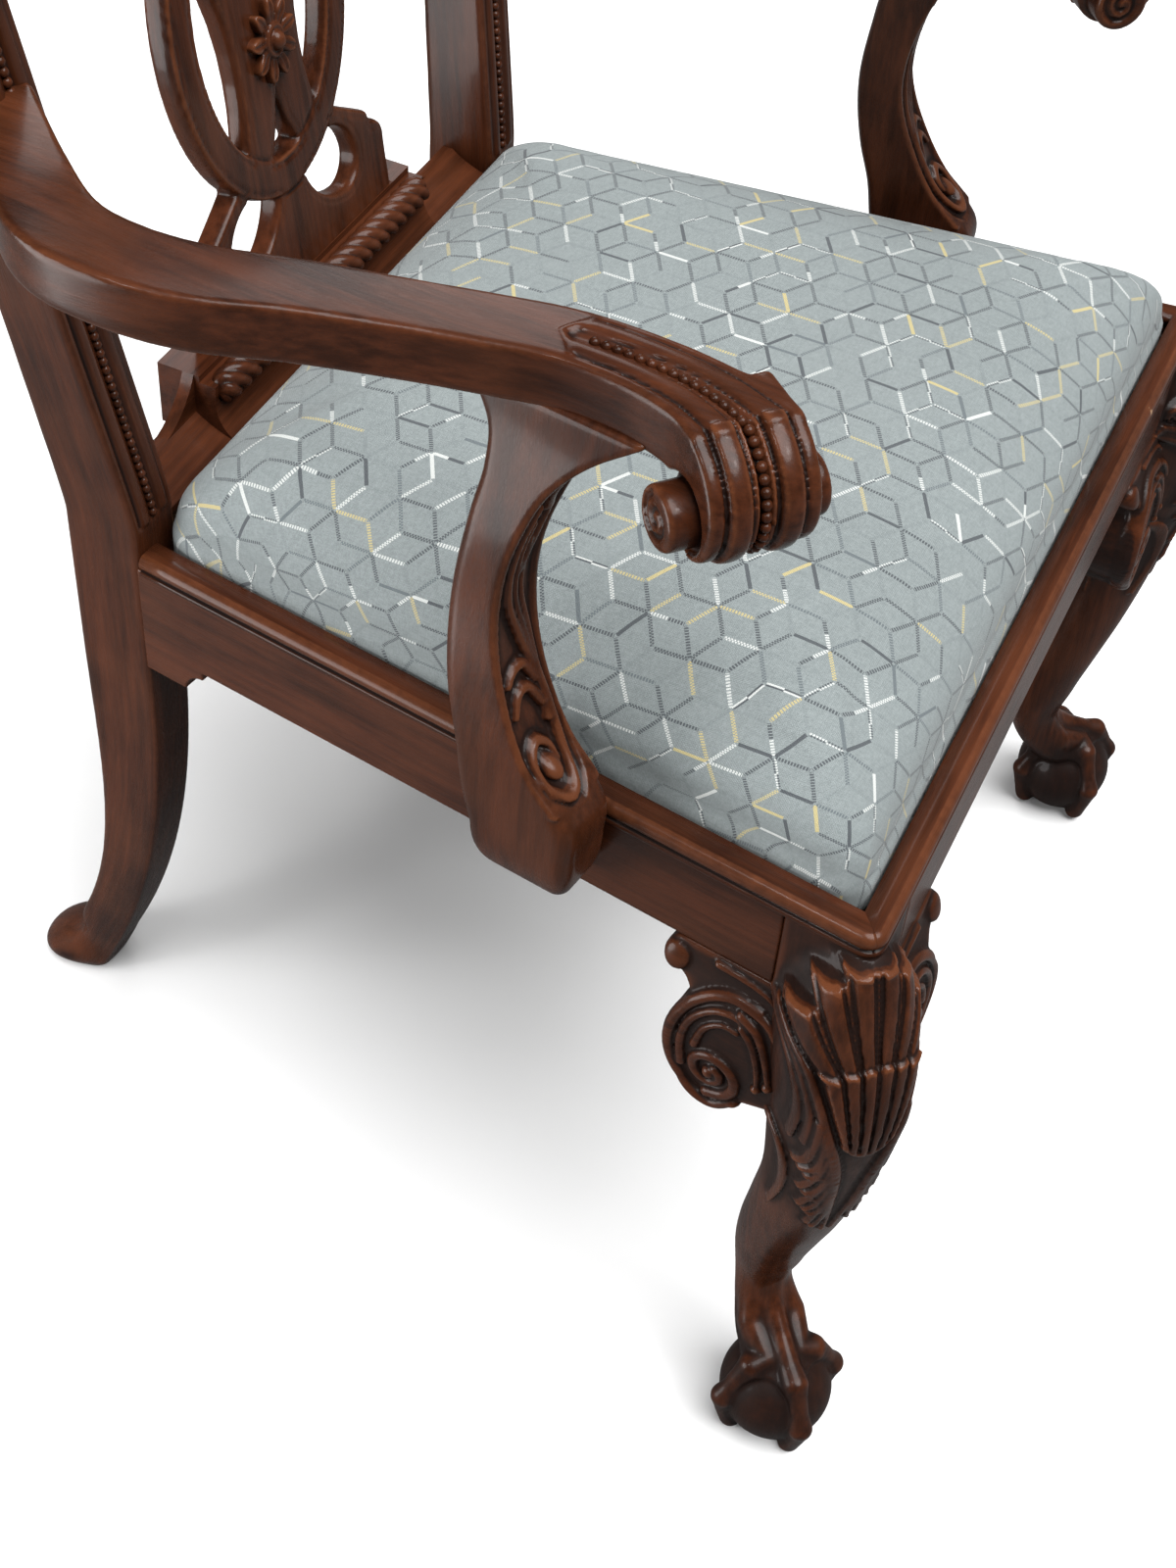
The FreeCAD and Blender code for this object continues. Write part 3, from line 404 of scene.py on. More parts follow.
class Wiring:
    """Short words for the nodes of one tree."""

    def __init__(self, tree):
        self.tree = tree

    def filled(self, kind, settings, values):
        """A node with its settings, and its numbered sockets filled."""
        node = self.tree.nodes.new("ShaderNode" + kind)
        for key, value in settings.items():
            setattr(node, key, value)
        for number, value in values:
            self.put(node.inputs[number], value)
        return node

    def put(self, socket, value):
        if isinstance(value, bpy.types.NodeSocket):
            self.tree.links.new(value, socket)
        else:
            socket.default_value = value

    def node(self, kind, settings=(), **values):
        node = self.tree.nodes.new("ShaderNode" + kind)
        for key, value in dict(settings).items():
            setattr(node, key, value)
        for label, value in values.items():
            self.put(node.inputs[label.replace("_", " ")], value)
        return node

    def maths(self, operation, *values):
        return self.filled("Math", {"operation": operation}, enumerate(values)).outputs[0]

    def vector(self, operation, *values):
        node = self.filled("VectorMath", {"operation": operation}, enumerate(values))
        return node.outputs["Value" if operation in ("LENGTH", "DOT_PRODUCT") else "Vector"]

    def noise(self, vector, scale, detail=3.0, rough=0.55):
        node = self.node("TexNoise", Vector=vector, Scale=scale, Detail=detail, Roughness=rough)
        return node.outputs["Fac"]

    def ramp(self, value, low, high):
        node = self.node("MapRange", {"interpolation_type": "SMOOTHSTEP"}, Value=value)
        node.inputs["From Min"].default_value = low
        node.inputs["From Max"].default_value = high
        return node.outputs["Result"]

    def mix(self, share, first, second):
        """One colour passing into another."""
        colours = [one + (1.0,) if isinstance(one, tuple) else one for one in (first, second)]
        values = zip((0, 6, 7), (share, *colours))
        return self.filled("Mix", {"data_type": "RGBA"}, values).outputs[2]

    def picked(self, test, kind, first, second):
        """The second number or vector where the test holds, else the first."""
        sockets, result = ((0, 2, 3), 0) if kind == "FLOAT" else ((0, 4, 5), 1)
        return self.filled("Mix", {"data_type": kind}, zip(sockets, (test, first, second))).outputs[result]

    def times(self, value, factor):
        return self.maths("MULTIPLY", value, factor)


def wood_grain_group():
    """Figure and pores of sawn wood; the vector's x runs along the grain, in metres."""
    tree, given, result = group_tree("wood_grain", [("Vector", "Vector", None), ("Figure", "Float", 1.0)],
                                     [("Tone", "Float"), ("Pores", "Float")])
    w = Wiring(tree)
    bend = w.noise(w.vector("MULTIPLY", given.outputs["Vector"], (3.0, 9.0, 9.0)), 1.0, 2.0)
    sway = w.node("CombineXYZ", Y=w.times(bend, 0.012)).outputs["Vector"]
    swung = w.vector("ADD", given.outputs["Vector"], sway)
    broad = w.noise(w.vector("MULTIPLY", swung, (5.0, 46.0, 46.0)), 1.0, 4.0)
    streak = w.noise(w.vector("MULTIPLY", swung, (14.0, 260.0, 260.0)), 1.0, 3.0)
    pores = w.noise(w.vector("MULTIPLY", swung, (70.0, 1500.0, 1500.0)), 1.0, 2.0)
    tone = w.maths("ADD", w.times(broad, 0.6), w.times(streak, 0.4))
    tone = w.times(w.ramp(tone, 0.36, 0.66), given.outputs["Figure"])
    w.put(result.inputs["Tone"], tone)
    w.put(result.inputs["Pores"], w.ramp(pores, 0.3, 0.62))
    return tree


def aged_and_shaded_surface_group():
    """Rubbed edges, darker hollows, and painted shade where a carved piece's relief has been lowered."""
    tree, given, result = group_tree("aged_and_shaded_surface", [("Vector", "Vector", None), ("Relief", "Float", 0.0)],
                                     [("Worn", "Float"), ("Hollows and Shade", "Float"), ("Patches", "Float"),
                                      ("Chips", "Float")])
    w = Wiring(tree)
    fine = w.noise(given.outputs["Vector"], 160.0, 4.0, 0.65)
    broad = w.noise(given.outputs["Vector"], 14.0, 3.0)
    uneven = w.times(w.maths("SUBTRACT", fine, 0.5), 0.9)
    worn = w.maths("ADD", given.outputs["Relief"], uneven)
    # Darker where relief is low: in the hollows, and as painted shade wherever a piece's relief has been
    # lowered.
    hollows_and_shade = w.maths("SUBTRACT", w.times(uneven, 0.5), given.outputs["Relief"])
    spots = w.noise(w.vector("ADD", given.outputs["Vector"], (3.1, 1.7, 0.4)), 60.0, 4.0)
    chips = w.times(w.ramp(spots, 0.725, 0.74), w.ramp(given.outputs["Relief"], 0.4, 0.7))
    w.put(result.inputs["Chips"], chips)
    w.put(result.inputs["Worn"], w.ramp(worn, 0.35, 1.35))
    w.put(result.inputs["Hollows and Shade"], w.ramp(hollows_and_shade, 0.05, 0.95))
    w.put(result.inputs["Patches"], w.ramp(broad, 0.35, 0.7))
    return tree


def weave_group():
    """Over-and-under threads; counts are threads for each metre."""
    tree, given, result = group_tree("woven_threads",
                                     [("Vector", "Vector", None), ("Threads", "Float", 1500.0)],
                                     [("Height", "Float"), ("Slub", "Float")])
    w = Wiring(tree)
    scaled = w.vector("SCALE", given.outputs["Vector"])
    scaled.node.inputs["Scale"].default_value = 1.0
    tree.links.new(given.outputs["Threads"], scaled.node.inputs["Scale"])
    parts = w.node("SeparateXYZ", Vector=scaled)
    across, along = parts.outputs["X"], parts.outputs["Y"]
    warp = w.maths("ABSOLUTE", w.maths("SINE", w.times(across, math.pi)))
    weft = w.maths("ABSOLUTE", w.maths("SINE", w.times(along, math.pi)))
    over = w.maths("MODULO", w.maths("ADD", w.maths("FLOOR", across), w.maths("FLOOR", along)), 2.0)
    over = w.maths("ABSOLUTE", over)
    height = w.maths("ADD", w.times(warp, over), w.times(weft, w.maths("SUBTRACT", 1.0, over)))
    slub = w.noise(w.vector("MULTIPLY", given.outputs["Vector"], (1700.0, 320.0, 1.0)), 1.0, 2.0)
    slub_weft = w.noise(w.vector("MULTIPLY", given.outputs["Vector"], (320.0, 1700.0, 1.0)), 1.0, 2.0)
    w.put(result.inputs["Height"], height)
    w.put(result.inputs["Slub"], w.times(w.maths("ADD", slub, slub_weft), 0.5))
    return tree


wood_grain = wood_grain_group()
aged_and_shaded_surface = aged_and_shaded_surface_group()
woven_threads = weave_group()


def new_finish(name):
    finish = bpy.data.materials.new(name)
    finish.use_nodes = True
    wiring = Wiring(finish.node_tree)
    return finish, wiring, finish.node_tree.nodes["Principled BSDF"]


def roughened(w, shader, height, strength):
    """A fine bump on a finish, under half a millimetre deep."""
    bump = w.node("Bump", Height=height)
    bump.inputs["Strength"].default_value = strength
    bump.inputs["Distance"].default_value = 0.0004
    w.put(shader.inputs["Normal"], bump.outputs["Normal"])


def placed_group(wiring, tree, **values):
    node = wiring.tree.nodes.new("ShaderNodeGroup")
    node.node_tree = tree
    for label, value in values.items():
        wiring.put(node.inputs[label], value)
    return node.outputs


def polished_wood(name, dark, middle, worn_colour, hollow, roughness, gloss, carved):
    """Wood with figure, pores, rubbed edges, dark hollows, and painted shade where a piece's relief is
    lowered.
    """
    finish, w, shader = new_finish(name)
    place = w.node("TexCoord").outputs["Object"]
    grain_place = place
    relief = 0.0
    if carved:
        grain_place = w.node("Attribute", {"attribute_name": "grain"}).outputs["Vector"]
        relief = w.node("Attribute", {"attribute_name": "relief"}).outputs["Fac"]
    grain = placed_group(w, wood_grain, Vector=grain_place, Figure=1.0)
    aged_and_shaded = placed_group(w, aged_and_shaded_surface, Vector=place, Relief=relief)
    bare_wood = (0.36, 0.22, 0.12)
    colour = w.mix(grain["Tone"], dark, middle)
    # The hollow colour darkens the pores and the hollows, and it paints shade on pieces whose relief is
    # lowered.
    for mask, share, tint in ((grain["Pores"], 0.22, hollow), (aged_and_shaded["Patches"], 0.18, worn_colour),
                              (aged_and_shaded["Worn"], 0.55, worn_colour), (aged_and_shaded["Hollows and Shade"], 0.85, hollow),
                              (aged_and_shaded["Chips"], 0.8, bare_wood)):
        colour = w.mix(w.times(mask, share), colour, tint)
    w.put(shader.inputs["Base Color"], colour)
    rough = w.maths("ADD", roughness, w.times(aged_and_shaded["Hollows and Shade"], 0.28))
    rough = w.maths("ADD", rough, w.times(grain["Pores"], 0.07))
    w.put(shader.inputs["Roughness"], rough)
    for label, value in (("Coat Weight", gloss), ("Coat Roughness", 0.12), ("Specular IOR Level", 0.13)):
        shader.inputs[label].default_value = value
    roughened(w, shader, w.times(grain["Pores"], -1.0), 0.05)
    return finish


mahogany = polished_wood("mahogany", dark=(0.02, 0.0055, 0.0022), middle=(0.068, 0.0187, 0.0074),
                         worn_colour=(0.14, 0.045, 0.018), hollow=(0.005, 0.002, 0.0014),
                         roughness=0.24, gloss=0.12, carved=True)
pale_beech = polished_wood("pale_beech", dark=(0.30, 0.19, 0.10), middle=(0.44, 0.30, 0.17),
                           worn_colour=(0.50, 0.36, 0.22), hollow=(0.20, 0.12, 0.06),
                           roughness=0.6, gloss=0.0, carved=False)
block_timber = polished_wood("block_timber", dark=(0.20, 0.11, 0.055), middle=(0.31, 0.19, 0.10),
                             worn_colour=(0.36, 0.23, 0.13), hollow=(0.12, 0.065, 0.03),
                             roughness=0.62, gloss=0.0, carved=False)


def plain_weave(name, colour, second, threads, roughness):
    """Coarse undecorated cloth."""
    finish, w, shader = new_finish(name)
    place = w.node("TexCoord").outputs["Object"]
    weave = placed_group(w, woven_threads, Vector=place, Threads=threads)
    shade = w.mix(weave["Slub"], colour, second)
    w.put(shader.inputs["Base Color"], w.mix(w.times(weave["Height"], 0.45), shade, colour))
    shader.inputs["Roughness"].default_value = roughness
    roughened(w, shader, weave["Height"], 0.5)
    return finish


jute_webbing = plain_weave("jute_webbing", (0.20, 0.14, 0.08), (0.34, 0.25, 0.15),
                           threads=420.0, roughness=0.85)
black_cambric = plain_weave("black_cambric", (0.012, 0.012, 0.013), (0.03, 0.03, 0.032),
                            threads=900.0, roughness=0.9)

# The seat fabric's lattice in metres, and the pick above which a bar has the next colour
hexagon_side, bar_half, bar_reach, stitch_length = 0.0196, 0.00105, 0.46, 0.0016
white_above, straw_above, split_above, grey_above = 0.35, 0.45, 0.53, 0.67
faint_above, solid_above = 0.82, 0.85


def seat_fabric():
    """Grey-blue cloth with a lattice of short woven bars, each in its own colour or left plain."""
    finish, w, shader = new_finish("seat_fabric")
    cloth = w.node("Attribute", {"attribute_name": "cloth"}).outputs["Vector"]
    weave = placed_group(w, woven_threads, Vector=cloth, Threads=1250.0)
    wide, tall = hexagon_side * math.sqrt(3), hexagon_side * 3

    def cell(offset):
        """The nearest centre of one of the two sets of cells, and the way to it."""
        shifted = w.vector("ADD", cloth, offset)
        ratio = w.vector("DIVIDE", shifted, (wide, tall, 1.0))
        rounded = w.vector("FLOOR", w.vector("ADD", ratio, (0.5, 0.5, 0.5)))
        centre = w.vector("MULTIPLY", rounded, (wide, tall, 0.0))
        away = w.vector("MULTIPLY", w.vector("SUBTRACT", shifted, centre), (1.0, 1.0, 0.0))
        return away, w.vector("SUBTRACT", centre, offset)

    def heading(turn):
        return (math.cos(math.radians(turn)), math.sin(math.radians(turn)), 0.0)

    def above(value, bound):
        return w.maths("GREATER_THAN", value, bound)

    first, first_centre = cell((0.0, 0.0, 0.0))
    second, second_centre = cell((wide / 2, tall / 2, 0.0))
    nearer = w.maths("LESS_THAN", w.vector("LENGTH", second), w.vector("LENGTH", first))

    away = w.picked(nearer, "VECTOR", first, second)
    centre = w.picked(nearer, "VECTOR", first_centre, second_centre)
    best, best_way = None, None
    for turn in (0, 60, 120, 180, 240, 300):
        way = heading(turn)
        reach = w.vector("DOT_PRODUCT", away, way)
        if best is None:
            best, best_way = reach, w.vector("ADD", way, (0.0, 0.0, 0.0))
            continue
        more = above(reach, best)
        best, best_way = w.maths("MAXIMUM", best, reach), w.picked(more, "VECTOR", best_way, way)
    edge = w.maths("SUBTRACT", wide / 2, best)
    along = w.vector("DOT_PRODUCT", away, w.vector("CROSS_PRODUCT", best_way, (0.0, 0.0, 1.0)))
    half = w.vector("SCALE", best_way)
    half.node.inputs["Scale"].default_value = wide / 2
    middle = w.vector("ADD", centre, half)
    for turn in (90, 210, 330):
        way = heading(turn)
        across = (way[1], -way[0], 0.0)
        reach = w.maths("SUBTRACT", w.vector("DOT_PRODUCT", away, way), hexagon_side / 2)
        beside = w.maths("ABSOLUTE", w.vector("DOT_PRODUCT", away, across))
        beside = w.maths("ADD", beside, w.maths("LESS_THAN", reach, -hexagon_side / 2))
        closer = w.maths("LESS_THAN", beside, edge)
        spoke = tuple(part * hexagon_side / 2 for part in way)
        edge = w.maths("MINIMUM", edge, beside)
        along = w.picked(closer, "FLOAT", along, reach)
        middle = w.picked(closer, "VECTOR", middle, w.vector("ADD", centre, spoke))
    seed = w.vector("SNAP", w.vector("ADD", middle, (0.0005, 0.0005, 0.0)), (0.002, 0.002, 1.0))
    pick = w.node("TexWhiteNoise", {"noise_dimensions": "2D"}, Vector=seed).outputs["Value"]
    second_pick = w.maths("FRACT", w.times(pick, 17.0))
    stitch = above(w.maths("SINE", w.times(along, 2 * math.pi / stitch_length)), -0.4)
    bar = w.maths("LESS_THAN", edge, bar_half)
    bar = w.times(bar, w.maths("LESS_THAN", w.maths("ABSOLUTE", along), hexagon_side * bar_reach))
    bar = w.times(bar, w.maths("MAXIMUM", stitch, above(second_pick, solid_above)))
    charcoal, white = (0.045, 0.052, 0.06), (0.62, 0.64, 0.62)
    straw, grey = (0.50, 0.42, 0.19), (0.10, 0.12, 0.13)
    shadow, ground_dark, ground_light = (0.06, 0.07, 0.075), (0.18, 0.207, 0.208), (0.25, 0.283, 0.283)
    ground = w.mix(w.ramp(weave["Slub"], 0.3, 0.7), ground_dark, ground_light)
    split = w.mix(above(along, 0.0), charcoal, white)
    colour = charcoal
    for bound, tint in ((white_above, white), (straw_above, straw), (split_above, split), (grey_above, grey)):
        colour = w.mix(above(pick, bound), colour, tint)
    shown = w.maths("SUBTRACT", 1.0, w.times(above(pick, faint_above), 0.8))
    strength = w.times(bar, w.maths("ADD", 0.66, w.times(weave["Height"], 0.34)))
    base = w.mix(w.times(strength, shown), ground, colour)
    base = w.mix(w.times(w.maths("SUBTRACT", 1.0, weave["Height"]), 0.3), base, shadow)
    w.put(shader.inputs["Base Color"], base)
    for label, value in (("Roughness", 0.82), ("Sheen Weight", 0.15), ("Sheen Roughness", 0.5)):
        shader.inputs[label].default_value = value
    roughened(w, shader, w.maths("ADD", weave["Height"], w.times(bar, 0.8)), 0.45)
    return finish


fabric = seat_fabric()


def screw_steel():
    finish, w, shader = new_finish("screw_steel")
    place = w.node("TexCoord").outputs["Object"]
    tarnish = w.noise(place, 240.0, 4.0)
    brown, bright = (0.16, 0.13, 0.10), (0.42, 0.38, 0.32)
    w.put(shader.inputs["Base Color"], w.mix(w.ramp(tarnish, 0.35, 0.7), brown, bright))
    w.put(shader.inputs["Roughness"], w.maths("ADD", 0.32, w.times(tarnish, 0.3)))
    shader.inputs["Metallic"].default_value = 1.0
    return finish


dull_steel = screw_steel()


# Front legs: cabriole shaft, carved knee, claws round a ball

# Share of the height under the rails, outward reach, inward reach and half width
leg_rows = [(1.12, 0, -50, 14), (1.067, 9, -52, 23), (1.0, 18, -54, 30), (0.933, 25, -54, 33),
            (0.867, 28, -50, 32), (0.8, 26, -46, 30), (0.72, 21, -41, 28), (0.65, 16, -38, 26.5),
            (0.515, 3, -46, 24.5), (0.427, -8, -53, 22.5), (0.347, -17, -57, 19.5), (0.25, -22, -54, 15.5),
            (0.208, -12, -48, 17), (0.165, 5, -36, 20), (0.125, 14, -20, 17)]
fan_apex, fan_span, fan_bars = 70.0, 74.0, 3
fan_top, fan_fall, fan_middle, fan_sag = 425.5, 5.0, 372.0, 0.9


def fan_place(turn, z):
    """How many bars from the corner a place on the two-tier fan lies; the bars spread upwards."""
    bars = turn / 10
    for _ in range(14):
        count = np.minimum(np.abs(bars), fan_bars)
        foot = fan_middle - fan_sag * count ** 2
        upper = 6.8 + 8.0 * np.clip((z - foot) / (fan_top - fan_fall * count ** 2 - foot), 0, 1.1)
        lower = 3.7 + 3.1 * unit((z - 316 - 0.9 * count ** 2) / (55 - 2 * count ** 2))
        bars = 0.4 * bars + 0.6 * turn / np.where(z > foot, upper, lower)
    return bars


def knee_relief(turn, z):
    """Carving of the knee: a two-tier fan of flat bars on the corner, stalks beside it and leaves below."""
    side = np.abs(turn)
    bars = fan_place(turn, z)
    bar = np.floor(bars) + 0.5
    off = np.abs(bars - bar)
    top = fan_top - fan_fall * bar ** 2 - 3.5 * np.abs(bar) * (np.abs(bars) - np.abs(bar))
    middle = fan_middle - fan_sag * bar ** 2 + 2.4 * dome(off, 0.45)
    low = 311 + 1.2 * bars ** 2
    convex = 0.75 + 0.25 * dome(off, 0.5)
    rise = unit((z - middle) / (top - middle))
    upper = 1.0 + 3.6 * rise ** 1.5 + 2.8 * convex * unit((0.34 - off) / 0.08)
    upper = upper + 1.1 * bell(0.5 - off, 0.06)
    drop = unit((z - low) / (middle - low))
    lower = 1.0 + 2.6 * drop ** 2 + 2.8 * convex * unit((0.42 - off) / 0.12)
    fan = np.where(z > middle, upper * unit((top - z) / 1.2), lower * unit((z - low) / 1.5))
    fan = np.maximum(fan, 3.6 * dome(z - low - 1.5, 2.2))
    within = unit((fan_bars - np.abs(bars)) / 0.07)
    leaf = np.zeros(turn.shape)
    vein = [(48, 377), (36, 371), (27, 363), (21, 347), (17, 331), (11.5, 308), (7.5, 284), (5, 252),
            (2, 217)]
    vein_height, vein_side = np.array(vein, float)[::-1, ::-1].T
    leaf = np.maximum(leaf, ridge(side, z, vein, 2.8, 3.2, 0.6))
    for off in (4.6, 9.2):
        stalk = [(48 + off, 377 - 0.4 * off), (36 + off, 371 - 0.3 * off), (27 + off, 363 - 0.3 * off),
                 (21 + off, 347), (18 + 1.1 * off, 331), (18 + 1.2 * off, 316 - 0.8 * off)]
        leaf = np.maximum(leaf, ridge(side, z, stalk, 2.7, 2.6, 0.8))
    for tip, tip_z, strands in ((25, 290, 3), (20.5, 267, 3), (18.5, 249, 3), (12, 228, 2)):
        for strand in range(strands):
            end, spare = tip_z - 5 * strand, strands - 1 - strand
            heights = np.array([end + 44, end + 24, end + 9])
            root, run, bend = np.interp(heights, vein_height, vein_side)
            frond = [(root + 1, end + 44), (run + 2.2 + 2.2 * spare, end + 24),
                     (bend + 4.2 + 3.4 * spare, end + 9), (tip - 3 * strand, end + 3)]
            leaf = np.maximum(leaf, ridge(side, z, frond, 2.7, 3.6, 0.75))
    hook = [(47, 296), (36, 293), (29, 280), (27, 255), (30, 228)]
    leaf = np.maximum(leaf, ridge(side, z, hook, 3.6, 3.0, 0.25))
    return np.where((within > 0) & (z > low - 1), np.maximum(fan * within, 0), leaf)


def foot_distance(o, w, z):
    """Ball, four knuckled claws with their tendons, and webs between them."""
    rise = z - ball_height
    ball = np.sqrt(o * o + w * w + rise * rise) - ball_radius
    joints = [(74, 3.0, 7.0), (58, 3.6, 8.0), (42, 1.6, 6.0), (26, 0.8, 5.6), (10, 2.2, 7.4), (-6, 0.8, 5.6),
              (-22, 0.8, 5.4), (-40, 2.0, 7.0)]
    tendons = [(-33, 8, 99.0, 2.0), (-28, 11, 87.0, 4.2), (-20, 14, 77.0, 5.8)]
    claws = None
    for angle in (0, 88, 180, 272):
        ahead = (math.cos(math.radians(angle)), math.sin(math.radians(angle)))
        chain = [(start + reach * ahead[0], reach * ahead[1], height, radius)
                 for start, reach, height, radius in tendons]
        for tilt, stand, radius in joints:
            reach = (ball_radius + stand) * math.cos(math.radians(tilt))
            height = ball_height + (ball_radius + stand) * math.sin(math.radians(tilt))
            chain.append((ahead[0] * reach, ahead[1] * reach, height, radius))
        claw = None
        for (a, b, c, r), (d, e, f, s) in zip(chain, chain[1:]):
            i, j, k = d - a, e - b, f - c
            t = unit(((o - a) * i + (w - b) * j + (z - c) * k) / (i ** 2 + j ** 2 + k ** 2))
            bone = np.sqrt((o - a - t * i) ** 2 + (w - b - t * j) ** 2 + (z - c - t * k) ** 2)
            bone = bone - (r + t * (s - r))
            claw = bone if claw is None else np.minimum(claw, bone)
        claws = claw if claws is None else joined(claws, claw, 4.0)
    around = np.arctan2(w, o)
    between = np.abs(np.sin(2 * around))
    tilt = np.arctan2(rise, np.sqrt(o * o + w * w))
    hem = np.radians(38 + 22 * between)
    web = np.maximum(ball - 2.4, (hem - tilt) * ball_radius)
    return ball, joined(claws, web, 3.0)


def front_leg():
    grid = Lattice((-66, -50, -2), (52, 50, 432), 1.16)
    o, w, z = grid.x, grid.y, grid.z
    rows = np.array(leg_rows[::-1])
    heights = rows[:, 0] * rail_bottom
    outward, inward, wide = (curve_through(heights, rows[:, column])(z) for column in (1, 2, 3))
    middle, half = (outward + inward) / 2, (outward - inward) / 2
    from_middle = o - middle
    norm = (np.abs(from_middle / half) ** 2.38 + np.abs(w / wide) ** 2.38) ** (1 / 2.38) + 1e-6
    shaft = np.sqrt(from_middle ** 2 + w * w) * (1 - 1 / norm)
    shaft = np.maximum(shaft, np.maximum(44 - z, z - 420))
    # The side rail's direction, seen from the leg's own diagonal
    rail_cos, rail_sin = 0.7994, 0.6008
    along = -rail_cos * o + rail_sin * w
    out = rail_sin * o + rail_cos * w
    x, y = (o + w) * math.sqrt(0.5), (w - o) * math.sqrt(0.5)
    block = np.maximum(rounded_edge(out, -y, rim_nose), np.maximum(-x - leg_block, along - leg_block))
    block = rounded_edge(block, np.abs(z - (rail_bottom + rail_top) / 2) - (rail_top - rail_bottom) / 2, 0.6)
    leg = joined(evened(shaft, grid.step), block + 0 * shaft, 5.0)
    well = np.maximum(np.maximum(ledge - z, out + rim_width), rim_width - y)
    leg = np.maximum(leg, -well)
    low = int((150 - grid.low[2]) / grid.step)
    ball, claws = foot_distance(o, w, z[:, :, :low])
    foot = joined(leg[:, :, :low], claws, 8.0)
    leg[:, :, :low] = np.minimum(foot, ball)
    leg = softened(np.maximum(leg, -z), 1)
    mask, (o, w, z) = grid.near(leg, 16.0)
    carve = np.zeros(o.shape)
    knee = (z > 214) & (z < 428)
    turn = fan_span * np.arctan2(w[knee], o[knee] + fan_apex)
    carve[knee] = knee_relief(turn, z[knee]) * unit((o[knee] + 44) / 8)
    leg[mask] -= carve
    points, faces, relief = skin(leg, grid)
    height = points[:, 2]
    # Painted shade: the knee carving and the foot get lowered relief, so they are painted darker, standing in
    # for the shade they sit in.
    knee_painted_shade, foot_painted_shade = unit((height - 205) / 40), unit((95 - height) / 30)
    relief = relief - 0.6 * knee_painted_shade * (height < rail_top - 1) - 0.95 * foot_painted_shade
    grain = upright_grain(points)
    placed = corner + points[:, :1] * diagonal + points[:, 1:2] * across_diagonal + points[:, 2:] * up
    return placed, faces, relief, grain


carved_pair("front_leg", front_leg())


# Knee brackets: a scroll with leaf strands, under the rails beside each knee

def bracket_outline():
    top, low = rail_bottom, rail_bottom - bracket_fall
    volute, ear = bracket_reach - 38, bracket_reach - bracket_ear
    points = [(leg_block - 24, top), (ear, top)]
    points += arc((ear, top), (bracket_reach, top - bracket_ear), (ear, top - 2 * bracket_ear))
    points += arc(points[-1], (ear - 9, top - 27), (ear - 6, top - 40))
    points += arc(points[-1], (ear + 1, top - 66), (volute + 16, low + 12))
    points += arc(points[-1], (volute + 1, low), (volute - 14, low + 10))
    return points + [(leg_block - 24, low + 22)]


def bracket_relief(a, z):
    """Carving of a bracket: a sunk panel, leaf strokes round a spiral, and round bosses."""
    eye = (69.0, 301.0)
    panel = outline_distance(a, z, [(44, 371), (92, 371), (87, 356), (74, 365), (54, 367)])
    height = -2.6 * unit(-panel / 1.6)
    sweep = [(54, 283), (66, 275), (80, 279), (91, 295), (95, 314), (91, 335), (80, 351), (66, 358),
             (50, 357)]
    strokes = [(sweep, 4.4, 4.2, 0.7),
               ([(86, 297), (88, 316), (84, 333), (74, 345), (62, 349), (53, 346)], 3.0, 3.4, 0.7),
               ([(80, 316), (76, 331), (67, 339), (58, 339)], 2.6, 2.8, 0.6),
               (spiral(eye, 18.0, 4.6, -90, 1.4, -1), 3.8, 3.8, 0.8),
               ([(58, 352), (48, 346), (41, 333), (36, 316)], 3.2, 3.8, 0.6),
               ([(56, 345), (49, 337), (44, 324), (42, 310)], 3.0, 3.6, 0.6),
               ([(60, 358), (44, 354), (34, 342), (29, 325)], 3.0, 3.6, 0.6),
               ([(78, 371), (56, 369), (42, 363), (32, 350)], 2.2, 2.4, 0.5)]
    for points, width, rise, tip in strokes:
        height = np.maximum(height, ridge(a, z, points, width, rise, tip))
    bosses = [(eye, 4.4, 4.6), ((36, 314), 3.4, 4.2), ((42, 308), 3.2, 4.0), ((101, 364), 8.0, 4.0)]
    for spot, radius, rise in bosses:
        height = np.maximum(height, rise * dome(np.hypot(a - spot[0], z - spot[1]), radius))
    return height


def knee_bracket():
    grid = Lattice((22, -21, 268), (112, 20, 377), 0.95)
    a, out, z = grid.x, grid.y, grid.z
    flat = outline_distance(a[:, :, 0], z[:, 0, :], bracket_outline())[:, None, :]
    flare = curve_through([268, 335, 350, 364, 377], [bracket_proud, bracket_proud, 8.5, 3.0, 0.6])
    back = bracket_proud - bracket_thickness
    field = rounded_edge(flat, np.abs(out - (flare(z) + back) / 2) - (flare(z) - back) / 2, 2.6)
    field = softened(field, 1)
    mask, (a, out, z) = grid.near(field)
    carve = np.zeros(a.shape)
    deep = out - flare(z) + 9
    face = deep > 0
    carve[face] = bracket_relief(a[face], z[face]) * unit(deep[face] / 4)
    field[mask] -= carve
    field = np.maximum(field, grid.z - rail_bottom)
    points, faces, relief = skin(field, grid)
    # Painted shade: the whole bracket's relief is lowered by 0.75, so it is painted darker than the rest of
    # the frame.
    return points, faces, relief - 0.75, points


bracket_points, bracket_faces, bracket_shaded_relief, bracket_grain = knee_bracket()
side_bracket = side_point(*bracket_points.T)
front_bracket = bracket_points * [-1, -1, 1] + [front_width / 2, 0, 0]
carved_pair("knee_bracket_side", (side_bracket, bracket_faces[:, ::-1], bracket_shaded_relief, bracket_grain))
carved_pair("knee_bracket_front", (front_bracket, bracket_faces, bracket_shaded_relief, bracket_grain))


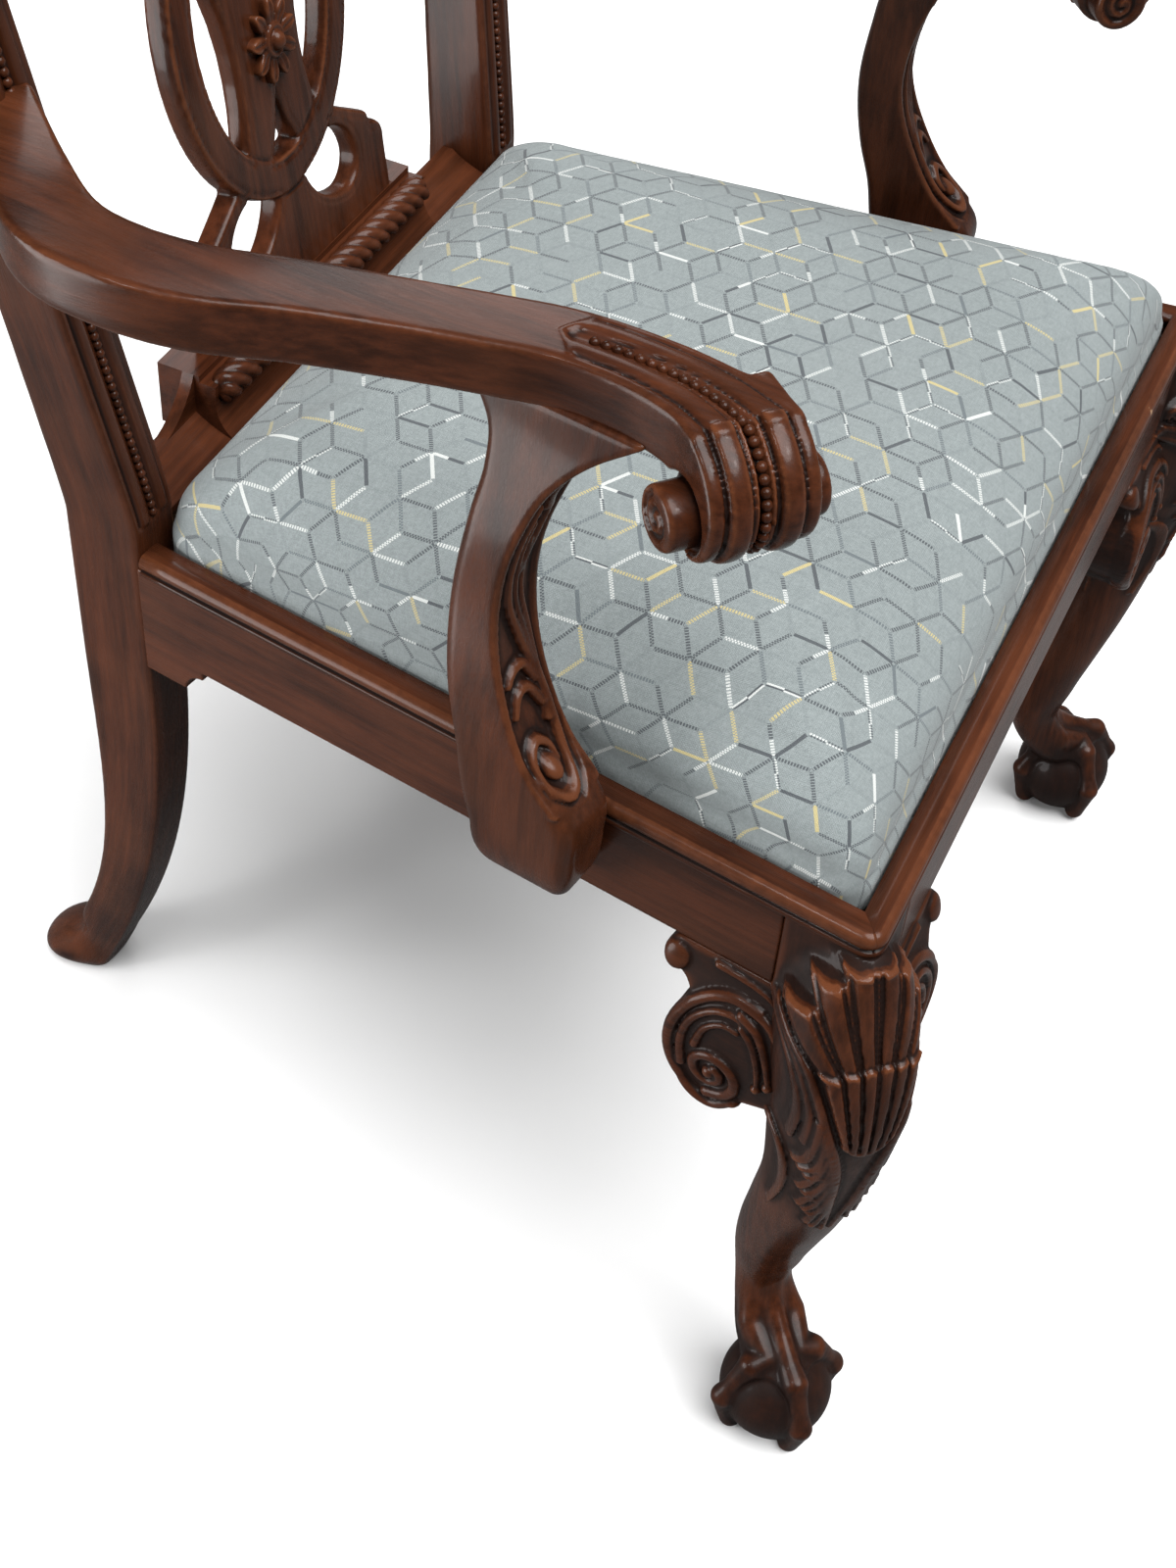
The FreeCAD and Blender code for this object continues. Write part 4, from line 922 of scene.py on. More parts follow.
# Rear posts: plain sabre legs, raked stiles with two reeds beside a bead string

def post_front(z):
    """The middle of the post's front face, as x and y at heights."""
    drop = np.clip((post_low - z) / post_low, 0, None)
    rise = np.clip(z - post_high, 0, None)
    rise = rise - post_bend * (1 - np.exp(-rise / post_bend))
    x = rear_width / 2 - post_width / 2 - rear_foot_in * drop ** 1.7 + post_flare * rise
    return x, seat_depth + rear_foot_back * drop ** 2.1 + math.tan(rake) * rise


def post_depth_at(z):
    drop = np.clip((post_low - z) / post_low, 0, None)
    rise = np.clip(z - post_high, 0, None) / (overall_height - post_high)
    slim = rear_ankle_slim * 6.75 * drop ** 2 * (1 - drop)
    return post_depth + (rear_foot_depth - post_depth) * drop - slim + (post_top_depth - post_depth) * rise


bead_run_low = seat_height + 13


def reeded(offset, half, bead_half=3.3):
    """Two reeds beside a sunken bead channel, and a plain outer border."""
    u = np.abs(offset)
    middle, wide = half * 0.46, half * 0.24
    height = -2.0 * dome(u, bead_half)
    height = height + 1.3 * dome(u - middle, wide)
    for groove in (middle - wide, middle + wide):
        height = height - 1.5 * bell(u - groove, 0.9)
    return height


def rear_post():
    top = overall_height - crest_height / 2
    grid = Lattice((-post_width / 2 - 5, -6, -2), (post_width / 2 + 5, post_depth + 8, top + 2), 1.4)
    x, y, z = grid.x, grid.y, grid.z
    depth = post_depth_at(z) - 9.0 * bell(z - 45, 17)
    pad = unit((16 - z) / 16) ** 2 * 6.0
    edge = 3.2 + 7.0 * unit((80 - z) / 60) * (y > depth / 2)
    field = rounded_edge(np.abs(x) - post_width / 2 + pad, np.abs(y - depth / 2) - depth / 2 + pad, edge)
    club = np.sqrt((x / 21.5) ** 2 + ((y - 27) / 23.5) ** 2 + ((z - 12) / 20.0) ** 2)
    field = joined(field, (club - 1) * 20.5, 16.0)
    field = rounded_edge(field, np.abs(z - top / 2) - top / 2, 1.5)
    field = softened(field, 1)
    mask, (x, y, z) = grid.near(field)
    stile = unit((z - bead_run_low) / 3) * unit((6 - y) / 3)
    field[mask] -= reeded(x, post_width / 2) * stile
    points, faces, relief = skin(field, grid)
    shift_x, shift_y = post_front(points[:, 2])
    placed = points + np.stack([shift_x, shift_y, 0 * shift_x], axis=1)
    return placed, faces, relief, upright_grain(points)


carved_pair("rear_post", rear_post())


# Arms: flat bowed bars that roll over at the front, with a reeded and beaded channel
scroll_ahead_of_support = 89
scroll_centre = side_point(support_along - scroll_ahead_of_support, 3 - arm_neck, arm_top - 3 - scroll_radius)
scroll_ahead = np.array([math.sin(math.radians(scroll_turn)), -math.cos(math.radians(scroll_turn)), 0.0])
scroll_axis = np.array([scroll_ahead[1], -scroll_ahead[0], 0.0])
channel_start = 197.0


def arm_line():
    """Top line of the left arm with its width, from the post to the scroll."""
    joint = arm_top + arm_rise - arm_thickness / 2
    joint_x, joint_y = (float(value) for value in post_front(np.array(joint)))

    def from_post(ahead, out, rise, width):
        return [*side_point(rail_run - ahead, out, arm_top + rise), width]

    def from_support(ahead, out, rise, width):
        return [*side_point(support_along + ahead, out, arm_top + rise), width]

    return [[joint_x + 5, joint_y + 6, arm_top + arm_rise, arm_width - 6],
            from_post(2, arm_bow - 19, arm_rise - 2, arm_width),
            from_post(36, arm_bow, arm_rise - 6, arm_bow_width),
            from_post(68, arm_bow, arm_rise - 9, arm_bow_width),
            from_post(102, arm_bow - 11, arm_rise - 12, arm_bow_width),
            from_post(140, arm_bow - 32, 4, arm_width + 2),
            from_support(67, 12, 1, arm_width), from_support(33, 2 - arm_neck / 3, 0, arm_width),
            from_support(0, -arm_neck, 0, arm_width), from_support(-35, -arm_neck - 4, 0, arm_width + 2),
            from_support(-65, -arm_neck - 3, -1, arm_width + 7),
            [*(scroll_centre + up * scroll_radius), scroll_width - 1]]


def curl_radius(turn):
    """Radius of the rolled end at an angle, from 90 degrees on top to -215 behind."""
    share = unit((90 - turn) / 305)
    return scroll_radius * (0.45 + 0.55 * (1 - share) ** 3)


def curl_outline():
    turns = np.linspace(90, -215, 62)
    radii = curl_radius(turns)
    points = list(zip(radii * np.cos(np.radians(turns)), radii * np.sin(np.radians(turns))))
    under = scroll_radius - arm_thickness + 2
    return points + [(-16.0, under), (-30.0, under), (-30.0, scroll_radius), (-16.0, scroll_radius)]


def arm():
    line = flowing(arm_line(), 12)
    runs = np.hypot(*np.diff(line[:, :2], axis=0).T)
    reach = np.concatenate([[0], np.cumsum(runs)])
    low = np.array([line[:, 0].min() - 40, line[:, 1].min() - 55, arm_top - 92])
    high = np.array([line[:, 0].max() + 40, line[:, 1].max() + 8, arm_top + arm_rise + 6])
    grid = Lattice(low, high, 1.25)
    x, y, z = grid.x[:, :, 0], grid.y[:, :, 0], grid.z
    best = np.full(np.broadcast(x, y).shape, 1e9)
    run_at, aside = np.zeros(best.shape), np.zeros(best.shape)
    for number, length in enumerate(runs):
        (a, b), (c, d) = line[number, :2], line[number + 1, :2]
        t = unit(((x - a) * (c - a) + (y - b) * (d - b)) / length ** 2)
        away = np.hypot(x - a - t * (c - a), y - b - t * (d - b))
        nearer = away < best
        side = np.sign((c - a) * (y - b) - (d - b) * (x - a))
        best = np.where(nearer, away, best)
        run_at = np.where(nearer, reach[number] + t * length, run_at)
        aside = np.where(nearer, side * away, aside)
    top = np.interp(run_at, reach, line[:, 2])[:, :, None]
    half = np.interp(run_at, reach, line[:, 3])[:, :, None] / 2
    ahead = ((x - scroll_centre[0]) * scroll_ahead[0] + (y - scroll_centre[1]) * scroll_ahead[1])[:, :, None]
    axial = ((x - scroll_centre[0]) * scroll_axis[0] + (y - scroll_centre[1]) * scroll_axis[1])[:, :, None]
    aside, run_at = aside[:, :, None], run_at[:, :, None]
    below = z - top + arm_thickness / 2
    dish = 0.8 * unit(1 - (aside / half) ** 2)
    lower = np.where(below > 0, 0.0, 4.5 * (aside / half) ** 4)
    bar = rounded_edge(np.abs(aside) - half, np.abs(below - np.where(below > 0, dish, lower) * 0.5)
                       - arm_thickness / 2, 2.4)
    bar = np.maximum(bar, ahead - 2)
    rear = float(post_front(np.array(arm_top))[1]) + 20
    bar = np.maximum(bar, grid.y - rear)
    table = Lattice((-80, -60, 0), (60, 60, 1), 1.0)
    curl = outline_distance(table.x[:, :, 0], table.y[:, :, 0], curl_outline())
    lift = z - scroll_centre[2] + 0 * ahead
    place = np.stack([np.clip(ahead + 0 * lift, -78, 58) + 80, np.clip(lift, -58, 58) + 60]).astype(float)
    base = np.floor(place).astype(int)
    t, s = place - base
    i, j = base
    roll = ((1 - t) * (1 - s) * curl[i, j] + t * (1 - s) * curl[i + 1, j]
            + (1 - t) * s * curl[i, j + 1] + t * s * curl[i + 1, j + 1])
    roll = rounded_edge(roll, np.abs(axial) - scroll_width / 2, 2.2)
    field = joined(bar, roll, 2.5)
    from_eye = np.sqrt(ahead ** 2 + lift ** 2)
    button = rounded_edge(from_eye - button_radius, np.abs(axial) - scroll_width / 2 - button_height, 2.5)
    moat = np.maximum(np.abs(from_eye - button_radius - 1.6) - 1.6, 21 - np.abs(axial))
    field = np.minimum(np.maximum(field, -moat), button)
    field = softened(field, 1)
    mask = np.abs(field) < 7
    spread = [np.broadcast_to(value, grid.shape)[mask]
              for value in (aside, ahead, axial, run_at, below, half, lift, from_eye)]
    aside, ahead, axial, run_at, below, half, lift, from_eye = spread
    on_roll = ahead > -2
    lateral = np.where(on_roll, -axial, aside)
    half = np.where(on_roll, scroll_width / 2, half)
    channel = side_point(channel_start, 0, 0) - side_point(support_along - scroll_ahead_of_support, 0, 0)
    begins = reach[-1] - np.linalg.norm(channel) - 6
    past_start = run_at - begins - np.abs(aside) * 0.7
    opened = unit(past_start / 4)
    upper = np.where(on_roll, from_eye > button_radius + 4, below > arm_thickness / 2 - 6)
    swell = np.where(on_roll, 1.9, 1.0)
    carve = reeded(lateral, half) * swell * opened * upper
    rim = bell(past_start, 1.6) * (np.abs(aside) < half * 0.78)
    carve = carve + np.where(on_roll, 0, 0.9 * rim * upper)
    face = (from_eye < button_radius) & (np.abs(axial) > scroll_width / 2 + 4)
    groove = ridge(ahead[face], lift[face], spiral((0, 0), 11.5, 2.0, 120, 1.5), 1.9, 2.0, 0.8)
    carve[face] = -groove
    field[mask] -= carve
    points, faces, relief = skin(field, grid)
    return points, faces, relief, np.stack([points[:, 1], points[:, 0], points[:, 2]], axis=1)


carved_pair("arm", arm())


# Arm supports: curved posts with a leaf-carved front

# Height, front, rear, lean outwards and change of thickness
support_rows = [(424, -51, 8, 19.5, 0), (448, -50, 14, 19.5, 0), (475, -25, 19, 18, 0),
                (502, -9, 27, 14.5, -2), (548, 5.5, 33, 6, -4), (595, -0.5, 29, -0.5, -6),
                (619, -10, 26, -6, -6), (639, -26, 28, -11, -5), (661, -52, 40, -14, -4)]
support_toe, support_bottom = 428.0, 389.0
support_field = curve_through([453, 460, 472, 490, 510, 537, 563, 590, 620, 652],
                              [2, 11, 16, 16.5, 15.5, 14.5, 13.5, 13, 12.5, 8])


def support_relief(v, z):
    """Carving of the support's front: a leaf bundle flowing out of a scroll, on a sunk field."""
    inside = np.minimum(support_field(z) - np.abs(v), np.minimum(z - 455, 650 - z))
    ground = -2.4 * unit(inside / 1.8)
    scroll = [(-9, 512), (-11.5, 495), (-10.5, 478), (-5, 463.5), (4, 460), (11.5, 466), (12, 477),
              (5.5, 483.5), (-1.5, 479), (-2.5, 473)]
    strokes = [(scroll, 3.2, 4.6, 0.8)]
    for number in range(3):
        bundle = [(-11 + 1.0 * number, 488), (-9 - 0.6 * number, 508), (-1 - 3.6 * number, 530),
                  (7 - 5.0 * number, 551), (9 - 5.2 * number, 576 - 4 * number),
                  (8 - 4.6 * number, 606 - 12 * number)]
        strokes.append((bundle, 3.3, 4.6 - 0.3 * number, 0.6))
    for number in range(2):
        lift = 11.0 * number
        curl = [(-8, 496 + lift), (-1, 505 + lift), (6, 505 + lift), (11.5, 497 + 1.3 * lift)]
        strokes.append((curl, 3.6, 4.4, 0.5))
    for side, base in ((-1, 566), (1, 602)):
        blade = [(-side * 2, base), (side * 5, base + 15), (side * 6.5, base + 31), (side * 2, base + 41)]
        strokes.append((blade, 3.6, 3.8, 0.4))
    height = ground
    for points, width, rise, tip in strokes:
        height = np.maximum(height, ground + ridge(v, z, points, width, rise, tip))
    boss = np.hypot(v - 3.2, (z - 472) * 1.1)
    return np.maximum(height, ground + 6.4 * dome(boss, 6.4))


def arm_support():
    rows = np.array(support_rows)
    grid = Lattice((support_along - 60, -38, 384), (support_along + 48, 46, 668), 1.1)
    a, out, z = grid.x, grid.y, grid.z
    front, rear, lean, change = (curve_through(rows[:, 0], rows[:, column])(z) for column in (1, 2, 3, 4))
    toe = unit((support_toe - z) / (support_toe - support_bottom))
    shrink = (1 - toe ** 2.5) ** (1 / 2.5)
    from_middle = a - support_along - (front + rear) / 2 + 5 * (1 - shrink)
    from_lean = out - lean + 9 * (1 - shrink)
    edge = np.where(from_middle < 0, np.where(z > 456, 2.2, 9.0), 6.5)
    edge = edge * np.clip(shrink, 0.3, 1)
    taper = np.maximum(shrink, 0.02) ** 0.8
    field = rounded_edge(np.abs(from_middle) - (rear - front) / 2 * taper,
                         np.abs(from_lean) - (support_thickness + change) / 2 * taper, edge)
    field = evened(rounded_edge(field, np.abs(z - 525.5) - 136.5, 3.0), grid.step)
    field = softened(np.maximum(field, -np.maximum(out, z - seat_height)), 1)
    mask, (a, out, z) = grid.near(field)
    lean_at = curve_through(rows[:, 0], rows[:, 3])(z)
    front_at = curve_through(rows[:, 0], rows[:, 1])(z) + support_along
    face = (a < front_at + 9) & (z > 452) & (z < 655)
    carve = np.zeros(a.shape)
    carve[face] = support_relief((out - lean_at)[face], z[face]) * unit((front_at + 9 - a)[face] / 4)
    field[mask] -= carve
    points, faces, relief = skin(field, grid)
    return side_point(*points.T), faces[:, ::-1], relief, upright_grain(points)


carved_pair("arm_support", arm_support())


# Crest rail, splat, rosette and the rope roll on the shoe

crest_half = float(post_front(np.array(overall_height - crest_height))[0]) + post_width / 2 + crest_overhang
crest_line = np.array(overall_height - crest_height)
crest_back = float(post_front(crest_line)[1] + post_depth_at(crest_line) / 2)
crest_hollow = splat_front + splat_thickness / 2 + math.tan(rake) * (float(crest_line) - seat_height)
crest_hollow -= crest_back


def crest_shape(x):
    """Top height, height, thickness and place of the crest along its length."""
    t = unit(np.abs(x) / crest_half)
    rise = 0.5 + 0.5 * np.cos(math.pi * unit(t / 0.62))
    ear = unit((t - 0.62) / 0.38) ** 1.6
    top = overall_height - crest_dip * (1 - rise) + crest_ear_rise * ear
    height = crest_height - crest_dip * 0.55 * (1 - rise) + (crest_ear_height - crest_height * 0.62) * ear
    lean = math.tan(rake) * (top - overall_height + crest_height / 2)
    return top, height, crest_thickness * (1 - 0.22 * ear), crest_back + crest_hollow * (1 - t * t) + lean


def crest_rail():
    grid = Lattice((-crest_half - 4, -22, -56), (crest_half + 4, 22, 56), 1.5)
    x, deep, g = grid.x, grid.y, grid.z
    _, height, thickness, _ = crest_shape(x)
    field = rounded_edge(np.abs(deep) - thickness / 2, np.abs(g) - height / 2, 6.5)
    field = softened(rounded_edge(field, np.abs(x) - crest_half, 5.0), 1)
    mask, (x, deep, g) = grid.near(field)
    _, height, thickness, _ = crest_shape(x)
    face = unit((2 - deep - thickness / 2 + 4) / 3)
    edge = height / 2 - np.abs(g)
    carve = -1.3 * bell(edge - 8.5, 1.2)
    carve = carve + 0.9 * dome(edge - 12.0, 2.6)
    angle = np.arctan2(x, g + 44)
    far = np.hypot(x, g + 44)
    rays = np.round(angle / 0.17)
    rib = dome(angle / 0.17 - rays, 0.46)
    shell = (np.abs(rays) <= 4) * unit((68 + 4 * rib - far) / 3) * unit((far - 18) / 6)
    carve = np.where(shell > 0, shell * (1.0 + 3.2 * rib), carve)
    side = np.abs(x)
    for number in range(3):
        leaf = [(44 + 26 * number, -10), (58 + 26 * number, 6), (74 + 26 * number, 4), (82 + 26 * number, -8)]
        carve = np.maximum(carve, ridge(side, g, leaf, 6.0 - number, 3.0, 0.35))
    ear_eye = (crest_half - 22, 0.0)
    carve = np.maximum(carve, ridge(side, g, spiral(ear_eye, 17, 4, 180, 1.3, -1), 4.0, 2.6, 0.7))
    field[mask] -= carve * face
    points, faces, relief = skin(field, grid)
    top, height, _, place = crest_shape(points[:, 0])
    y = place + points[:, 1] * math.cos(rake) + points[:, 2] * math.sin(rake)
    z = top - height / 2 - points[:, 1] * math.sin(rake) + points[:, 2] * math.cos(rake)
    placed = np.stack([points[:, 0], y, z], axis=1)
    carved_piece("carved_crest_rail", "crest_rail", placed, faces, points, relief)


crest_rail()


def splat_height(z):
    """Height on the tilted splat of a height above the floor."""
    return (z - seat_height) / math.cos(rake)


def tilted(points):
    """Points on the upright splat leaned back with it."""
    y = splat_front + points[:, 1] * math.cos(rake) + points[:, 2] * math.sin(rake)
    z = seat_height - points[:, 1] * math.sin(rake) + points[:, 2] * math.cos(rake)
    return np.stack([points[:, 0], y, z], axis=1)


def splat_outlines():
    """The right half outlines of the lower and upper panels, and the drops and slots that pierce them."""
    ring_bottom, ring_top = ring_centre - ring_height / 2, ring_centre + ring_height / 2
    half, neck = splat_base_width / 2, ring_bottom + 24
    foot = [(half, splat_base - 8), (half, neck - 43)]
    foot += arc(foot[-1], (half - 2.5, neck - 32), (half - 12, neck - 28)) + [(half - 14, neck - 20)]
    foot += arc(foot[-1], (half - 28, neck - 12), (half - 48, neck))
    crown, waist, neck = overall_height - crest_height / 2, half - 30, ring_top - 24
    head = [(waist - 18, neck)] + arc((waist - 18, neck), (waist + 2, neck + 12), (waist + 16, neck + 20))
    head += [(waist + 18, neck + 28)]
    head += arc(head[-1], (waist + 25, neck + 34), (waist + 26, neck + 46))
    head += arc(head[-1], (waist + 4, neck + 84), (splat_top_width / 2, crown - 52))
    head += [(splat_top_width / 2, crown)]
    drop = [(15, 1), (28, -18), (49, -28), (62, -26), (69, -14), (63, 2), (47, 13), (30, 12), (15, 1)]
    drops = []
    for tip, way in ((ring_bottom, 1), (ring_top, -1)):
        corners = [(x, tip + way * rise) for x, rise in drop]
        edge = [corners[0]]
        for start in range(0, 8, 2):
            edge += arc(*corners[start:start + 3])
        drops.append(edge[:-1])
    low, high = ring_top + 30, overall_height - crest_height - 14
    for x, base, lean in ((0.0, low, 0.0), (26.0, low + 26, 20.0)):
        middle = (base + high) / 2
        edge = arc((x, base), (x + lean - 9, middle), (x + 2 * lean, high))
        drops.append(edge + arc((x + 2 * lean, high), (x + lean + 9, middle), (x, base)))
    return foot, head, drops


def splat():
    grid = Lattice((-splat_top_width / 2 - 4, -5, splat_height(splat_base) - 10),
                   (splat_top_width / 2 + 4, splat_thickness + 4, splat_height(962)), 1.45)
    x, y, z = grid.x[:, :, 0], grid.y, grid.z[:, 0, :]
    level = z * math.cos(rake) + seat_height
    side = np.abs(x) + 0 * level
    level = level + 0 * x
    foot, head, drops = splat_outlines()
    closed = []
    for half in (foot, head):
        mirrored = [(-across, height) for across, height in reversed(half)]
        closed.append(outline_distance(side, level, half + mirrored))
    panels = np.minimum(*closed)
    for drop in drops:
        panels = np.maximum(panels, -outline_distance(side, level, drop))
    turn = np.linspace(0, 2 * math.pi, 73)[:-1]

    def oval(shrink):
        wide, tall = ring_width / 2 - shrink, ring_height / 2 - shrink
        edge = [(wide * math.cos(angle), ring_centre + tall * math.sin(angle)) for angle in turn]
        return outline_distance(side, level, edge)

    outer, inner = oval(0), oval(ring_band)
    ring = np.maximum(outer, -inner)
    top, low = ring_centre + 62, ring_centre - ring_height / 2 + 8
    inside, outside = 3.0, 3.0 - strap_width
    strap = [(outside - 34, top)]
    strap += arc(strap[-1], (outside, rosette_centre - 4), (outside - 16, low)) + [(inside - 26, low)]
    strap += arc(strap[-1], (inside, rosette_centre), (inside - 42, top))
    first = outline_distance(x + 0 * level, level, strap)
    second = outline_distance(-x + 0 * level, level, strap)
    straps = np.maximum(np.minimum(first, second), outer)
    flat = np.minimum(np.minimum(np.maximum(panels, -inner), ring), straps)
    lines = 0.9 * bell(flat + 4.0, 0.9)
    lines = np.maximum(lines, 1.4 * bell(outer, 1.0) + 1.4 * bell(inner, 1.0))
    lines = np.maximum(lines, (inner < -1) * 1.2 * bell(np.maximum(first, -3 - second), 1.0))
    hollow = np.where(ring < 0, 0.0, 0.7) + lines
    field = rounded_edge(flat[:, None, :], np.abs(y - splat_thickness / 2) - splat_thickness / 2, 1.1)
    field = softened(field, 1)
    front = unit((5 - y) / 3)
    field = field + hollow[:, None, :] * front * (np.abs(field) < 7)
    points, faces, relief = skin(field, grid)
    carved_piece("carved_splat", "splat", tilted(points), faces, upright_grain(points), relief)


splat()


def rosette():
    petals = 9
    middle = splat_height(rosette_centre)
    reach = rosette_radius + 4
    grid = Lattice((-reach, -rosette_height - 4, middle - reach), (reach, 3, middle + reach), 0.7)
    x, y, z = grid.x, grid.y, (grid.z - middle) * 0.9
    far, angle = np.sqrt(x * x + z * z), np.arctan2(x, z)
    petal = angle * petals / (2 * math.pi)
    across = petal - np.round(petal)
    tip = rosette_radius * (1.02 - 1.5 * np.abs(across) ** 1.6)
    curve = 2.2 + 3.4 * unit(far / rosette_radius) - 3.0 * unit(far / rosette_radius - 0.72)
    curve = curve - 1.3 * bell(across, 0.05) - 1.6 * unit(np.abs(across) * 2) ** 4
    field = rounded_edge(far - tip, np.abs(y) - np.clip(curve, 0.6, 9), 0.8)
    boss = np.sqrt(x * x + z * z + (y + 4.5) ** 2) - 5.2
    ring = np.sqrt((far - 7.2) ** 2 + (y + 3.6) ** 2) - 1.5
    field = softened(np.minimum(np.minimum(evened(field + 0 * boss, grid.step), boss), ring), 1)
    points, faces, relief = skin(field, grid)
    carved_piece("carved_rosette", "splat_rosette", tilted(points), faces, points, relief)


rosette()


def gadroon():
    """Rope roll: slanting bulged lobes on a round bar with domed ends."""
    steps, sides, pitch, starts = 300, 60, 10.6, 4
    x = np.linspace(-gadroon_half, gadroon_half, steps)[:, None]
    turn = np.linspace(0, 2 * math.pi, sides, endpoint=False)[None, :]
    lobe = np.abs(np.sin((starts * turn - 2 * math.pi * x / pitch) / 2)) ** 0.55
    end = np.clip((gadroon_half - np.abs(x)) / 7.0, 0.02, 1)
    radius = gadroon_radius * (0.70 + 0.34 * lobe) * np.sqrt(1 - (1 - end) ** 2)
    y, z = gadroon_y + radius * np.cos(turn), gadroon_z + radius * np.sin(turn)
    points = np.stack([x + 0 * turn, y, z], axis=-1)
    number = np.arange(steps * sides).reshape(steps, sides)
    beside = np.roll(number, -1, axis=1)
    faces = np.stack([number[:-1], beside[:-1], beside[1:], number[1:]], axis=-1).reshape(-1, 4)
    faces = [list(face) for face in faces] + [list(number[0][::-1]), list(number[-1])]
    faces = [face[::-1] for face in faces]
    points = points.reshape(-1, 3)
    relief = (lobe * 1.7 - 1.1).ravel()
    carved_piece("carved_gadroon", "shoe_gadroon", points, faces, points, relief)


gadroon()


# Plain wooden members keep their solids' form, with softened edges

def plain_member(node, edge, along):
    """A copy of a solid with eased edges, its grain running along a direction."""
    work = bmesh.new()
    work.from_mesh(nodes[node].data)
    bmesh.ops.remove_doubles(work, verts=work.verts, dist=1e-6)
    bmesh.ops.dissolve_limit(work, angle_limit=math.radians(1), verts=work.verts, edges=work.edges)
    worn = work.faces.layers.float.new("relief")
    sharp_angle, edge_wear = math.radians(35), 0.55
    sharp = [one for one in work.edges if len(one.link_faces) == 2 and one.calc_face_angle(0) > sharp_angle]
    eased = bmesh.ops.bevel(work, geom=sharp, offset=edge * mm, segments=3, profile=0.5, affect="EDGES",
                            clamp_overlap=True)["faces"]
    for face in eased:
        face[worn] = edge_wear
    for face in work.faces:
        face.smooth = True
    for one in work.edges:
        one.smooth = len({face[worn] > 0 for face in one.link_faces}) == 1
    mesh = bpy.data.meshes.new("plain_" + node)
    work.to_mesh(mesh)
    work.free()
    spots = mesh_points(mesh)
    along = np.array(along, float) / np.linalg.norm(along)
    aside = np.cross(up, along) if abs(along[2]) < 0.9 else np.array([1.0, 0.0, 0.0])
    grain = np.stack([spots @ along, spots @ aside, spots @ np.cross(along, aside)], axis=1)
    give_vectors(mesh, "grain", grain)
    mesh.materials.append(mahogany)
    carried(in_scene("plain_" + node, mesh), "frame", (node,))


for member, eased_edge, grain_way in (("front_rail", 1.2, (1, 0, 0)), ("back_rail", 1.2, (1, 0, 0)),
                                      ("splat_shoe", 1.0, (1, 0, 0)), ("side_rail_left", 1.2, along_rail),
                                      ("side_rail_right", 1.2, along_rail * flip_x)):
    plain_member(member, eased_edge, grain_way)


def seat_rims():
    """Thumb-moulded strips round the seat, with a scratched bead under them, mitred at the corners."""
    moulding = [(-6, 440), (-3, 439.6), (-0.9, 438.5), (0.6, 436.6), (1.1, 434.4), (0.6, 432.4),
                (-0.6, 431.2), (-1.0, 430.6), (-0.2, 430.0), (0.8, 429.4), (1.1, 428.2), (0.8, 427.0),
                (0, 426.4)]
    outline = [tuple(point) for point in flowing(moulding, 3)]
    outline += [(-3, 426.4), (-3, 430), (-14, 430), (-14, 440)]
    bulge = [0.9 if 431.5 < z < 439.8 and out > -5 else (-1.0 if 429.8 < z < 431.5 and out > -3 else 0.15)
             for out, z in outline]

    def nose(out, z, share):
        """The rounded corner: share 0 on the mitre, 1 where the side begins, -1 where the front begins."""
        radius = max(0.0, rim_nose + out)
        inner = out - radius
        angle = (splay - math.pi / 2) / 2 + share * (splay + math.pi / 2) / 2
        centre = np.array([front_width / 2 + inner * (1 + math.sin(splay)) / math.cos(splay), -inner, z])
        return centre + radius * np.array([math.cos(angle), math.sin(angle), 0.0])

    def strip(name, stations, replaced):
        rows = [[station(out, z) for out, z in outline] for station in stations]
        points, faces = np.array(rows).reshape(-1, 3), tube_faces(len(rows), len(outline))
        way = points[-1] - points[0]
        way = way / np.linalg.norm(way)
        grain = np.stack([points @ way, points @ np.cross(up, way), points[:, 2]], axis=1)
        face_outward(carved_piece(name, replaced, points, faces, grain, bulge * len(rows)).data)

    def bend(share, flip):
        return lambda out, z: nose(out, z, share) * flip

    def run(near, far, share):
        return lambda out, z: near(out, z) * (1 - share) + far(out, z) * share

    keep = np.ones(3)
    shares = np.linspace(0, 1, 7)
    steps = np.linspace(0, 1, 25)[1:]
    front = [bend(-share, keep) for share in shares]
    front += [run(bend(-1, keep), bend(-1, flip_x), step) for step in steps]
    front += [bend(-share, flip_x) for share in shares[::-1][1:]]
    strip("moulded_rim_front", front, "seat_rim_front")
    for name, flip in (("left", keep), ("right", flip_x)):
        back = (lambda turned: lambda out, z: side_point(rail_run - 0.5, out, z) * turned)(flip)
        side = [bend(share, flip) for share in shares] + [run(bend(1, flip), back, step) for step in steps]
        strip("moulded_rim_" + name, side, "seat_rim_" + name)


seat_rims()

corner_blocks = [end + "_corner_block_" + side for side in ("left", "right") for end in ("front", "rear")]
seat_members = ["seat_frame_" + side for side in ("front", "back", "left", "right")]


def dress(names, finish):
    """A finish on solids that keep their own shape."""
    for name in names:
        nodes[name].data.materials.clear()
        nodes[name].data.materials.append(finish)


dress(corner_blocks, block_timber)
dress(seat_members, pale_beech)
dress(["seat_webbing"], jute_webbing)


# Bead strings and fixings, laid out by rule

